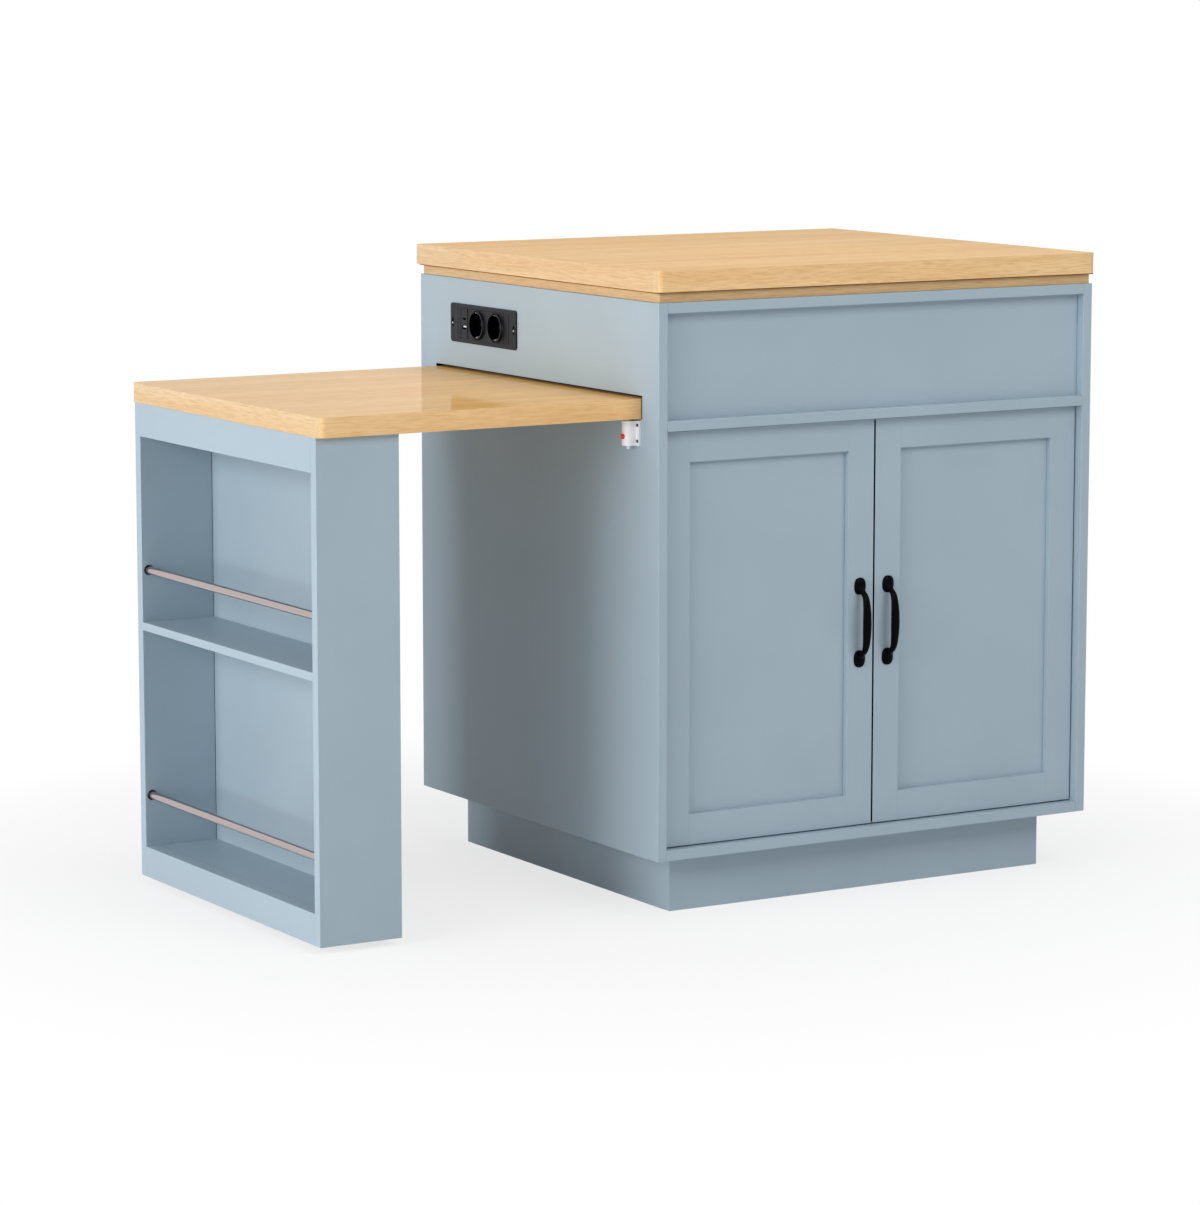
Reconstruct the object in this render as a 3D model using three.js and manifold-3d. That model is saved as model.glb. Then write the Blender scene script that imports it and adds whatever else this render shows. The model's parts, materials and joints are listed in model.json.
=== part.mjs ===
// Kitchen island unit. A painted cabinet on a set-back plinth carries an oak-faced worktop,
// a pair of framed doors and a power outlet. A table leaf slides out of its left side on a
// shelf unit that rolls on two wheels, and a spring bolt under the leaf locks it.
//
// Millimetres, +Z up. Every piece is placed from the cabinet's front left corner on the
// floor: X runs to the right along the doors, Y runs to the back. The finished group is
// then moved so that its origin is the middle of the underside of the whole object.

import * as THREE from 'three';
import { mergeVertices } from 'three/addons/utils/BufferGeometryUtils.js';
import Module from 'manifold-3d';

const wasm = await Module();
wasm.setup();

// ------------------------------------------------------------------ driving dimensions

// Cabinet
const CABINET_WIDTH = 750;
const CABINET_DEPTH = 688;
const COUNTER_HEIGHT = 920;
const BOARD = 15; // every painted board of the cabinet
const PLINTH_HEIGHT = 85;
const PLINTH_INSET = 50;
const APRON_HEIGHT = 150; // fixed panel above the doors
const FRONT_RECESS = 14.5; // doors and apron lie this far behind the board edges
const SHELF_HEIGHT = 285; // clear space between the cabinet floor and the shelf
const SHELF_SETBACK = 12; // shelf edge behind the doors

// Worktop
const SLAB_THICKNESS = 30;
const SLAB_SIDE_OVERHANG = 5;
const SLAB_FRONT_OVERHANG = 3;
const SLAB_CORNER = 12;
const UNDERLAY_THICKNESS = 15;
const UNDERLAY_INSET = 3.5;

// Doors
const DOOR_THICKNESS = 18;
const DOOR_GAP = 2; // to the boards round the pair
const MEETING_GAP = 3;
const FRAME_WIDTH = 44;
const PANEL_STEP = 9; // panel face behind the frame face
const PANEL_THICKNESS = 6;
const GROOVE_DEPTH = 5;
const GROOVE_PLAY = 0.2;
const DOOR_PIVOT_INSET = 6; // hinge axis, from the side panel's inner face

// Hinges
const CUP_RADIUS = 17.5;
const CUP_DEPTH = 11.5;
const CUP_WALL = 1.5;
const CUP_RIM = 1.5;
const HINGE_PLATE = 0.8;
const HINGE_FROM_END = 90;
const FLANGE_WIDTH = 18;
const FLANGE_HEIGHT = 56;
const ARM_HEIGHT = 14;
const ARM_WIDTH = 12;
const ARM_LENGTH = 62;
const ARM_FOOT = 3;
const ARM_FOOT_LENGTH = 40;
const ARM_FOOT_HEIGHT = 48;

// Pulls
const PULL_PITCH = 106;
const PULL_RISE = 1.5; // middle of the pull above the middle of the door
const PULL_REACH = 21; // centre line of the bow, from the door
const PULL_WIDTH = 12.6;
const PULL_NECK = 8;
const PULL_THICKNESS = 7;
const FOOT_WIDTH = 18.6;
const FOOT_LENGTH = 24.5;
const FOOT_DOME = 5;

// Table leaf and its slot
const LEAF_LENGTH = 628;
const LEAF_THICKNESS = 28;
const LEAF_CORNER = 12;
const LEAF_REACH = 508; // how far it stands out, pulled to its stop
const LEAF_FRONT = 46; // leaf edge behind the cabinet's front
const LEAF_BACK_INSET = 50; // leaf edge in front of the cabinet's back
const LEAF_TRAVEL = 355;
const LEAF_RUN = 0.5; // running gap under the leaf
const SLOT_PLAY = 1.75;
const SLOT_HEADROOM = 4;
const GUIDE_LIP = 16;
const GUIDE_LIP_THICKNESS = 10;
const GUIDE_HEADROOM = 1;
const GUIDE_PLAY = 0.75;
const STOP_WIDTH = 20;
const STOP_THICKNESS = 12;
const STOP_GAP = 0.3;
const STOP_SPACE = 10; // between the stop and each guide lip

// Shelf unit under the outer end of the leaf
const LEG_DEPTH = 127;
const LEG_INSET = 10; // leaf overhang at the front and the back
const LEG_END_INSET = 1; // leaf overhang at the outer end
const LEG_BOARD = 16;
const LEG_BACK = 12;
const LEG_FLOOR_GAP = 10;
const FASCIA_HEIGHT = 49;
const KICKBOARD_HEIGHT = 45;
const LEG_SHELF_HEIGHT = 322; // clear space between the bottom shelf and the middle one
const LEG_SHELF_BOARD = 12; // middle shelf
const ROD_RADIUS = 6;
const ROD_HEIGHT = 76; // rod axis above its shelf
const ROD_SETBACK = 11; // rod axis behind the open face
const ROD_SEAT = 6;

// Wheels
const WHEEL_RADIUS = 18;
const WHEEL_WIDTH = 16;
const WHEEL_FROM_END = 60;
const WHEEL_BEVEL = 1.5;
const AXLE_RADIUS = 3;
const FORK_THICKNESS = 2;
const FORK_WIDTH = 16;
const FORK_PLATE_LENGTH = 44;
const FORK_PLATE_WIDTH = 36;

// Lock
const LOCK_FRONT = 48; // mounting flange edge behind the cabinet's front
const LOCK_HEIGHT = 35;
const LOCK_GAP = 3; // below the slot
const LOCK_FLANGE_WIDTH = 34;
const LOCK_FLANGE = 3;
const LOCK_RADIUS = 9.4;
const BOLT_OFFSET = 9.5; // bolt axis from the cabinet side
const BOLT_RADIUS = 3;
const BOLT_TRAVEL = 8;
const BOLT_TAIL = 5;
const BOLT_WAIST = 0.8; // narrowing of the tail, for a grip
const BOLT_HEADROOM = 1; // between the drawn-back bolt and the leaf
const BOLT_HOLE_PLAY = 1.5;
const COLLAR_RADIUS = 5;
const COLLAR_HEIGHT = 2;
const CHAMBER_RADIUS = 5.6;
const CHAMBER_FLOOR = 5;
const CHAMBER_ROOF = 4;
const SPRING_WIRE = 0.8;
const SPRING_LENGTH = 10;
const SPRING_TURNS = 5;
const BUTTON_RADIUS = 3.8;
const BUTTON_HEIGHT = 13; // button axis above the foot of the lock
const BUTTON_PROUD = 2.5;
const BUTTON_STEM = 1.5; // inside the lock's wall

// Outlet
const PLATE_LENGTH = 196;
const PLATE_HEIGHT = 58;
const PLATE_THICKNESS = 2.5;
const PLATE_CORNER = 5;
const PLATE_FROM_BACK = 196; // middle of the plate, from the cabinet's back
const PLATE_DROP = 51; // middle of the plate, below the underside of the top panel
const SOCKET_OFFSET = -12.5; // middle of the pair, from the middle of the plate
const SOCKET_PITCH = 55;
const SOCKET_RECESS = 19.25; // radius
const SOCKET_DEPTH = 17;
const SOCKET_COLLAR = 2.2; // collar wall round the recess
const SOCKET_PROUD = 4.5;
const SOCKET_BODY_DEPTH = 26;
const EARTH_NOTCH = 6;
const PIN_HOLE_RADIUS = 2.6;
const PIN_HOLE_PITCH = 19;
const MODULE_HEIGHT = 45;
const MODULE_FACE = 0.8; // module face proud of the plate
const USB_OFFSET = 55;
const USB_WIDTH = 18;
const USB_BODY_DEPTH = 14;
const USB_A = { width: 13, height: 5.6, drop: 6, depth: 11 };
const USB_C = { width: 9, height: 3.2, drop: -7, depth: 7 };
const BOX_LENGTH = 172;
const BOX_HEIGHT = 50;
const BOX_DEPTH = 46;
const BOX_WALL = 2;
const BOX_PLAY = 0.5;
const GLAND_RADIUS = 8;
const GLAND_BORE = 4;
const GLAND_LENGTH = 12;

// Clearance that curved or turned faces keep
const CLEARANCE = 0.3;

// ------------------------------------------------------------------ levels and edges

const inner = { left: BOARD, right: CABINET_WIDTH - BOARD, back: CABINET_DEPTH - BOARD };
const slabUnder = COUNTER_HEIGHT - SLAB_THICKNESS;
const carcassTop = slabUnder - UNDERLAY_THICKNESS;
const apronTop = carcassTop - BOARD;
const dividerTop = apronTop - APRON_HEIGHT;
const dividerUnder = dividerTop - BOARD;
const cabinetFloor = PLINTH_HEIGHT + BOARD;
const doorFront = FRONT_RECESS;
const doorBack = doorFront + DOOR_THICKNESS;
const doorFoot = cabinetFloor + DOOR_GAP;
const doorTop = dividerUnder - DOOR_GAP;
const doorWidth = (inner.right - inner.left - 2 * DOOR_GAP - MEETING_GAP) / 2;

const leafUnder = dividerTop + LEAF_RUN;
const leafTop = leafUnder + LEAF_THICKNESS;
const leafBack = CABINET_DEPTH - LEAF_BACK_INSET;

const leg = {
  outer: -LEAF_REACH + LEG_END_INSET,
  inner: -LEAF_REACH + LEG_END_INSET + LEG_DEPTH,
  front: LEAF_FRONT + LEG_INSET,
  back: leafBack - LEG_INSET,
  foot: LEG_FLOOR_GAP,
  top: leafUnder,
};
const legBay = {
  outer: leg.outer + LEG_BOARD,
  inner: leg.inner - LEG_BACK,
  front: leg.front + LEG_BOARD,
  back: leg.back - LEG_BOARD,
};
const bottomShelfTop = leg.foot + KICKBOARD_HEIGHT;
const middleShelfTop = bottomShelfTop + LEG_SHELF_HEIGHT + LEG_SHELF_BOARD;

const plate = { y: CABINET_DEPTH - PLATE_FROM_BACK, z: apronTop - PLATE_DROP };

const lockTop = dividerTop - LOCK_GAP;
const lockFoot = lockTop - LOCK_HEIGHT;
const bolt = { x: -BOLT_OFFSET, y: LOCK_FRONT + LOCK_FLANGE_WIDTH / 2 };

// ------------------------------------------------------------------ geometry helpers

const ARC_STEPS = 10;
const ROUND = 32; // sides of a large round piece
const SMALL_ROUND = 20; // sides of a small one

function block(x0, x1, y0, y1, z0, z1) {
  const box = new THREE.BoxGeometry(x1 - x0, y1 - y0, z1 - z0);
  return box.translate((x0 + x1) / 2, (y0 + y1) / 2, (z0 + z1) / 2);
}

// An outline in Y and Z becomes a board that runs along X.
const ALONG_X = new THREE.Matrix4().makeBasis(
  new THREE.Vector3(0, 1, 0),
  new THREE.Vector3(0, 0, 1),
  new THREE.Vector3(1, 0, 0),
);
// An outline in X and Y becomes a board that stands along Z.
const ALONG_Z = new THREE.Matrix4();

function prism(outline, direction, from, to) {
  const options = { depth: to - from, bevelEnabled: false, curveSegments: ARC_STEPS };
  const geometry = new THREE.ExtrudeGeometry(outline, options);
  return geometry.translate(0, 0, from).applyMatrix4(direction);
}

function outlineOf(points) {
  return new THREE.Shape(points.map(([u, v]) => new THREE.Vector2(u, v)));
}

function rectangle(u0, u1, v0, v1) {
  return outlineOf([[u0, v0], [u1, v0], [u1, v1], [u0, v1]]);
}

// A rectangle whose four corners, from the lower left one round, have their own radii.
function roundedRectangle(u0, u1, v0, v1, [r00, r10, r11, r01]) {
  const shape = new THREE.Shape();
  shape.moveTo(u0 + r00, v0);
  shape.lineTo(u1 - r10, v0);
  if (r10) shape.absarc(u1 - r10, v0 + r10, r10, -Math.PI / 2, 0);
  shape.lineTo(u1, v1 - r11);
  if (r11) shape.absarc(u1 - r11, v1 - r11, r11, 0, Math.PI / 2);
  shape.lineTo(u0 + r01, v1);
  if (r01) shape.absarc(u0 + r01, v1 - r01, r01, Math.PI / 2, Math.PI);
  shape.lineTo(u0, v0 + r00);
  if (r00) shape.absarc(u0 + r00, v0 + r00, r00, Math.PI, 1.5 * Math.PI);
  return shape;
}

// A round bar from one point to another.
function bar(radius, start, end, sides = SMALL_ROUND) {
  const a = new THREE.Vector3(...start);
  const b = new THREE.Vector3(...end);
  const run = b.clone().sub(a);
  const turn = new THREE.Quaternion().setFromUnitVectors(
    new THREE.Vector3(0, 1, 0),
    run.clone().normalize(),
  );
  const cylinder = new THREE.CylinderGeometry(radius, radius, run.length(), sides);
  return cylinder.applyQuaternion(turn).translate(...a.add(b).divideScalar(2));
}

// A turned piece round the Y axis, its profile given as radius and height.
function turned(profile, sides) {
  return new THREE.LatheGeometry(profile.map(([r, h]) => new THREE.Vector2(r, h)), sides);
}

function toSolid(geometry) {
  const bare = geometry.clone();
  bare.deleteAttribute('normal');
  bare.deleteAttribute('uv');
  const merged = mergeVertices(bare, 1e-4);
  return new wasm.Manifold(new wasm.Mesh({
    numProp: 3,
    vertProperties: merged.attributes.position.array,
    triVerts: new Uint32Array(merged.index.array),
  }));
}

function toGeometry(solid) {
  const mesh = solid.getMesh();
  const geometry = new THREE.BufferGeometry();
  geometry.setAttribute('position', new THREE.BufferAttribute(mesh.vertProperties, 3));
  geometry.setIndex(new THREE.BufferAttribute(mesh.triVerts, 1));
  return geometry;
}

const cut = (body, ...tools) => toGeometry(
  tools.reduce((solid, tool) => solid.subtract(toSolid(tool)), toSolid(body)),
);
const join = (body, ...more) => toGeometry(
  more.reduce((solid, piece) => solid.add(toSolid(piece)), toSolid(body)),
);

// ------------------------------------------------------------------ materials

const finish = (color, roughness, metalness = 0) => (
  new THREE.MeshStandardMaterial({ color, roughness, metalness })
);
const paint = finish(0xa3b3bd, 0.45);
const oak = finish(0xe2be8e, 0.35);
const blackEnamel = finish(0x15171a, 0.45, 0.4);
const blackPlastic = finish(0x26272b, 0.5);
const whitePlastic = finish(0xe8e8ea, 0.4);
const redPlastic = finish(0xe0231b, 0.35);
const steel = finish(0xc9c6c3, 0.3, 1);
const nickel = finish(0xb9b7b2, 0.35, 1);
const rubber = finish(0x3a3b3d, 0.8);

const island = new THREE.Group();

function add(group, name, geometry, material) {
  const mesh = new THREE.Mesh(geometry, material);
  mesh.name = name;
  group.add(mesh);
}

// ------------------------------------------------------------------ plinth

function buildPlinth() {
  const group = new THREE.Group();
  const left = PLINTH_INSET;
  const right = CABINET_WIDTH - PLINTH_INSET;
  const front = PLINTH_INSET;
  const back = CABINET_DEPTH - PLINTH_INSET;
  const board = (x0, x1, y0, y1) => block(x0, x1, y0, y1, 0, PLINTH_HEIGHT);
  add(group, 'plinth_front', board(left, right, front, front + BOARD), paint);
  add(group, 'plinth_back', board(left, right, back - BOARD, back), paint);
  add(group, 'plinth_left', board(left, left + BOARD, front + BOARD, back - BOARD), paint);
  add(group, 'plinth_right', board(right - BOARD, right, front + BOARD, back - BOARD), paint);
  return group;
}

// ------------------------------------------------------------------ cabinet

function sidePanel(x0, openings) {
  const outline = rectangle(0, CABINET_DEPTH, PLINTH_HEIGHT, carcassTop);
  outline.holes.push(...openings);
  return prism(outline, ALONG_X, x0, x0 + BOARD);
}

function leafSlot() {
  const top = leafTop + SLOT_HEADROOM;
  return rectangle(LEAF_FRONT - SLOT_PLAY, leafBack + SLOT_PLAY, dividerTop, top);
}

function outletCutOut() {
  const halfLength = BOX_LENGTH / 2 + BOX_PLAY;
  const halfHeight = BOX_HEIGHT / 2 + BOX_PLAY;
  return rectangle(
    plate.y - halfLength, plate.y + halfLength, plate.z - halfHeight, plate.z + halfHeight,
  );
}

function buildCarcass() {
  const group = new THREE.Group();
  const level = (y0, y1, z0) => block(inner.left, inner.right, y0, y1, z0, z0 + BOARD);
  const shelfFront = doorBack + SHELF_SETBACK;
  add(group, 'side_panel_left', sidePanel(0, [leafSlot(), outletCutOut()]), paint);
  add(group, 'side_panel_right', sidePanel(inner.right, []), paint);
  add(group, 'top_panel', level(0, inner.back, apronTop), paint);
  add(group, 'divider_panel', level(0, inner.back, dividerUnder), paint);
  add(group, 'shelf_board', level(shelfFront, inner.back, cabinetFloor + SHELF_HEIGHT), paint);
  add(group, 'bottom_panel', level(0, inner.back, PLINTH_HEIGHT), paint);
  add(group, 'back_panel', block(
    inner.left, inner.right, inner.back, CABINET_DEPTH, PLINTH_HEIGHT, carcassTop,
  ), paint);
  add(group, 'apron_panel', block(
    inner.left, inner.right, FRONT_RECESS, FRONT_RECESS + BOARD, dividerTop, apronTop,
  ), paint);
  return group;
}

function buildWorktop() {
  const group = new THREE.Group();
  const slab = roundedRectangle(
    -SLAB_SIDE_OVERHANG, CABINET_WIDTH + SLAB_SIDE_OVERHANG,
    -SLAB_FRONT_OVERHANG, CABINET_DEPTH + SLAB_FRONT_OVERHANG,
    [SLAB_CORNER, SLAB_CORNER, 0, 0],
  );
  add(group, 'worktop_underlay', block(
    UNDERLAY_INSET, CABINET_WIDTH - UNDERLAY_INSET,
    UNDERLAY_INSET, CABINET_DEPTH - UNDERLAY_INSET, carcassTop, slabUnder,
  ), oak);
  add(group, 'worktop_slab', prism(slab, ALONG_Z, slabUnder, COUNTER_HEIGHT), oak);
  return group;
}

// Each guide is a batten beside the leaf with a lip over the leaf's edge, which keeps the
// leaf from tipping when it is pulled out.
function buildLeafGuides() {
  const group = new THREE.Group();
  const lipUnder = leafTop + GUIDE_HEADROOM;
  const lipTop = lipUnder + GUIDE_LIP_THICKNESS;
  const guide = (wall, edge, lip) => prism(outlineOf([
    [wall, dividerTop], [edge, dividerTop], [edge, lipUnder],
    [lip, lipUnder], [lip, lipTop], [wall, lipTop],
  ]), ALONG_X, inner.left, inner.right);
  add(group, 'leaf_guide_front', guide(
    FRONT_RECESS + BOARD, LEAF_FRONT - GUIDE_PLAY, LEAF_FRONT + GUIDE_LIP,
  ), oak);
  add(group, 'leaf_guide_back', guide(inner.back, leafBack + GUIDE_PLAY, leafBack - GUIDE_LIP), oak);
  return group;
}

// ------------------------------------------------------------------ doors

// The left and the right door are mirror images. A place on a door is given by its distance
// from the door's hinge edge, and fromHinge turns that distance into X.
const DOORS = {
  left: { wall: inner.left, into: 1 },
  right: { wall: inner.right, into: -1 },
};
const fromHinge = (side, distance) => (
  DOORS[side].wall + DOORS[side].into * (DOOR_GAP + distance)
);
const hingeLevels = { upper: doorTop - HINGE_FROM_END, lower: doorFoot + HINGE_FROM_END };
const pullLevel = (doorFoot + doorTop) / 2 + PULL_RISE;
const cupCentre = (FRAME_WIDTH - GROOVE_DEPTH) / 2;
const panelFace = doorFront + PANEL_STEP;
const groove = { front: panelFace - GROOVE_PLAY, back: panelFace + PANEL_THICKNESS + GROOVE_PLAY };
const grooveReach = GROOVE_DEPTH - 2 * GROOVE_PLAY; // how far a tongue goes in

// A box on a door, between two distances from the hinge edge.
function doorBlock(side, a, b, y0, y1, z0, z1) {
  const ends = [fromHinge(side, a), fromHinge(side, b)];
  return block(Math.min(...ends), Math.max(...ends), y0, y1, z0, z1);
}

// A stile is full height and grooved along its inner edge for the panel and the rails.
function stile(side, outerEdge, innerEdge) {
  const inward = Math.sign(innerEdge - outerEdge);
  const bottom = innerEdge - inward * GROOVE_DEPTH;
  const section = outlineOf([
    [outerEdge, doorFront], [innerEdge, doorFront], [innerEdge, groove.front],
    [bottom, groove.front], [bottom, groove.back], [innerEdge, groove.back],
    [innerEdge, doorBack], [outerEdge, doorBack],
  ].map(([distance, y]) => [fromHinge(side, distance), y]));
  return prism(section, ALONG_Z, doorFoot, doorTop);
}

// A rail is grooved along its inner edge and has a tongue at each end.
function rail(side, outerEdge, innerEdge) {
  const inward = Math.sign(innerEdge - outerEdge);
  const bottom = innerEdge - inward * GROOVE_DEPTH;
  const section = outlineOf([
    [doorFront, outerEdge], [doorFront, innerEdge], [groove.front, innerEdge],
    [groove.front, bottom], [groove.back, bottom], [groove.back, innerEdge],
    [doorBack, innerEdge], [doorBack, outerEdge],
  ]);
  const ends = [fromHinge(side, FRAME_WIDTH), fromHinge(side, doorWidth - FRAME_WIDTH)];
  const length = prism(section, ALONG_X, Math.min(...ends), Math.max(...ends));
  const tongues = block(
    Math.min(...ends) - grooveReach, Math.max(...ends) + grooveReach,
    panelFace, panelFace + PANEL_THICKNESS,
    Math.min(outerEdge, bottom), Math.max(outerEdge, bottom),
  );
  return join(length, tongues);
}

// The hinge cup sits in a round pocket in the back of the stile, under a screw flange. Its
// folded link stands in the cup and meets the arm.
function hingeCup(side, level) {
  const floor = doorBack - CUP_DEPTH;
  const face = doorBack + HINGE_PLATE;
  const bore = CUP_RADIUS - CUP_WALL;
  const centre = [fromHinge(side, cupCentre), 0, level];
  const cup = turned([
    [0, floor], [CUP_RADIUS, floor], [CUP_RADIUS, doorBack], [CUP_RADIUS + CUP_RIM, doorBack],
    [CUP_RADIUS + CUP_RIM, face], [bore, face], [bore, floor + CUP_WALL], [0, floor + CUP_WALL],
  ], ROUND).translate(...centre);
  const flange = block(
    centre[0] - FLANGE_WIDTH / 2, centre[0] + FLANGE_WIDTH / 2, doorBack, face,
    level - FLANGE_HEIGHT / 2, level + FLANGE_HEIGHT / 2,
  );
  const mouth = bar(bore, [centre[0], floor, level], [centre[0], face + 1, level], ROUND);
  const link = block(
    centre[0] - ARM_WIDTH / 2, centre[0] + ARM_WIDTH / 2, floor, face,
    level - ARM_HEIGHT / 2, level + ARM_HEIGHT / 2,
  );
  return join(cut(flange, mouth), cup, link);
}

function cupPocket(side, level) {
  const x = fromHinge(side, cupCentre);
  const floor = doorBack - CUP_DEPTH - CLEARANCE;
  return bar(CUP_RADIUS + CLEARANCE, [x, floor, level], [x, doorBack + 1, level], ROUND);
}

// The cranked arm reaches from the side panel to the link in the cup.
function hingeArm(side, level) {
  const x = (distance) => DOORS[side].wall + DOORS[side].into * distance;
  const tip = doorBack + HINGE_PLATE;
  const heel = tip + ARM_LENGTH;
  const nose = DOOR_GAP + cupCentre + ARM_WIDTH / 2;
  const crank = nose - ARM_FOOT - ARM_WIDTH;
  const arm = prism(outlineOf([
    [ARM_FOOT, heel], [ARM_FOOT + ARM_WIDTH, heel],
    [ARM_FOOT + ARM_WIDTH, tip + ARM_WIDTH + crank], [nose, tip + ARM_WIDTH], [nose, tip],
    [nose - ARM_WIDTH, tip], [nose - ARM_WIDTH, tip + ARM_WIDTH / 2],
    [ARM_FOOT, tip + ARM_WIDTH / 2 + crank],
  ].map(([distance, y]) => [x(distance), y])), ALONG_Z, level - ARM_HEIGHT / 2, level + ARM_HEIGHT / 2);
  const foot = block(
    Math.min(x(0), x(ARM_FOOT)), Math.max(x(0), x(ARM_FOOT)), heel - ARM_FOOT_LENGTH, heel,
    level - ARM_FOOT_HEIGHT / 2, level + ARM_FOOT_HEIGHT / 2,
  );
  return join(arm, foot);
}

// The bow's centre line rises from the lower foot, runs level and comes back to the upper
// one. Its section is an oval, widest in the middle.
function bowPull(x) {
  const half = PULL_PITCH / 2;
  const rise = [[0.1, 1], [0.42, 0.9], [0.72, 0.79], [0.91, 0.62], [0.98, 0.35]];
  const path = new THREE.CatmullRomCurve3([
    ...rise.map(([out, up]) => new THREE.Vector3(0, -out * PULL_REACH, -up * half)),
    new THREE.Vector3(0, -PULL_REACH, 0),
    ...rise.reverse().map(([out, up]) => new THREE.Vector3(0, -out * PULL_REACH, up * half)),
  ]);
  const bow = new THREE.CylinderGeometry(1, 1, 1, 14, 40);
  const vertices = bow.attributes.position;
  const across = new THREE.Vector3(1, 0, 0);
  for (let i = 0; i < vertices.count; i += 1) {
    const t = vertices.getY(i) + 0.5;
    const spread = (PULL_NECK + (PULL_WIDTH - PULL_NECK) * Math.sin(Math.PI * t)) / 2;
    const outward = path.getTangentAt(t).cross(across);
    const point = path.getPointAt(t)
      .addScaledVector(across, -vertices.getX(i) * spread)
      .addScaledVector(outward, vertices.getZ(i) * PULL_THICKNESS / 2);
    vertices.setXYZ(i, point.x, point.y, point.z);
  }
  const dome = (z) => {
    const steps = 6;
    const profile = [[0, 0], [1, 0]];
    for (let i = 0; i <= steps; i += 1) {
      const angle = (Math.PI / 2) * (i / steps);
      profile.push([i < steps ? Math.cos(angle) : 0, 0.3 + 0.7 * Math.sin(angle)]);
    }
    return turned(profile, 28)
      .rotateX(Math.PI)
      .scale(FOOT_WIDTH / 2, FOOT_DOME, FOOT_LENGTH / 2)
      .translate(0, 0, z);
  };
  // The bow's ends are buried in the feet, so only what stands proud of the door is kept.
  const door = block(-PULL_PITCH, PULL_PITCH, 0, PULL_PITCH, -PULL_PITCH, PULL_PITCH);
  return cut(join(bow, dome(-half), dome(half)), door).translate(x, doorFront, pullLevel);
}

function buildDoor(side) {
  const group = new THREE.Group();
  const name = (piece) => `door_${side}_${piece}`;
  const inside = { hinge: FRAME_WIDTH, lock: doorWidth - FRAME_WIDTH };
  const railTop = doorTop - FRAME_WIDTH;
  const railFoot = doorFoot + FRAME_WIDTH;
  const hinged = stile(side, 0, inside.hinge);
  const pockets = Object.values(hingeLevels).map((level) => cupPocket(side, level));
  add(group, name('panel'), doorBlock(
    side, inside.hinge - grooveReach, inside.lock + grooveReach,
    panelFace, panelFace + PANEL_THICKNESS, railFoot - grooveReach, railTop + grooveReach,
  ), paint);
  add(group, name('stile_hinge'), cut(hinged, ...pockets), paint);
  add(group, name('stile_lock'), stile(side, doorWidth, inside.lock), paint);
  add(group, name('rail_top'), rail(side, doorTop, railTop), paint);
  add(group, name('rail_bottom'), rail(side, doorFoot, railFoot), paint);
  add(group, name('handle'), bowPull(fromHinge(side, doorWidth - FRAME_WIDTH / 2)), blackEnamel);
  for (const [place, level] of Object.entries(hingeLevels)) {
    add(group, name(`hinge_cup_${place}`), hingeCup(side, level), nickel);
    add(group, `hinge_arm_${side}_${place}`, hingeArm(side, level), nickel);
  }
  return group;
}

// ------------------------------------------------------------------ table leaf

function leafPiece() {
  const inside = LEAF_LENGTH - LEAF_REACH;
  const outline = roundedRectangle(
    -LEAF_REACH, inside, LEAF_FRONT, leafBack, [LEAF_CORNER, 0, 0, LEAF_CORNER],
  );
  const depth = BOLT_TRAVEL - BOLT_HEADROOM + BOLT_HOLE_PLAY;
  // One bolt hole holds the leaf pulled out, the other holds it pushed in.
  const holes = [bolt.x, bolt.x - LEAF_TRAVEL].map((x) => bar(
    BOLT_RADIUS + BOLT_HOLE_PLAY, [x, bolt.y, leafUnder - 1], [x, bolt.y, leafUnder + depth],
  ));
  return cut(prism(outline, ALONG_Z, leafUnder, leafTop), ...holes);
}

function leafStop() {
  const x0 = inner.left + STOP_GAP;
  const margin = GUIDE_LIP + STOP_SPACE;
  return block(
    x0, x0 + STOP_WIDTH, LEAF_FRONT + margin, leafBack - margin, leafTop, leafTop + STOP_THICKNESS,
  );
}

// ------------------------------------------------------------------ shelf unit

const rodLevels = { lower: bottomShelfTop + ROD_HEIGHT, upper: middleShelfTop + ROD_HEIGHT };
const rodX = leg.outer + ROD_SETBACK;

function legSide(y0) {
  const board = block(leg.outer, leg.inner, y0, y0 + LEG_BOARD, leg.foot, leg.top);
  const seats = Object.values(rodLevels).map((level) => bar(
    ROD_RADIUS + CLEARANCE,
    [rodX, legBay.front - ROD_SEAT, level], [rodX, legBay.back + ROD_SEAT, level],
  ));
  return cut(board, ...seats);
}

function legRod(level) {
  const reach = ROD_SEAT - CLEARANCE;
  return bar(ROD_RADIUS, [rodX, legBay.front - reach, level], [rodX, legBay.back + reach, level]);
}

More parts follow.
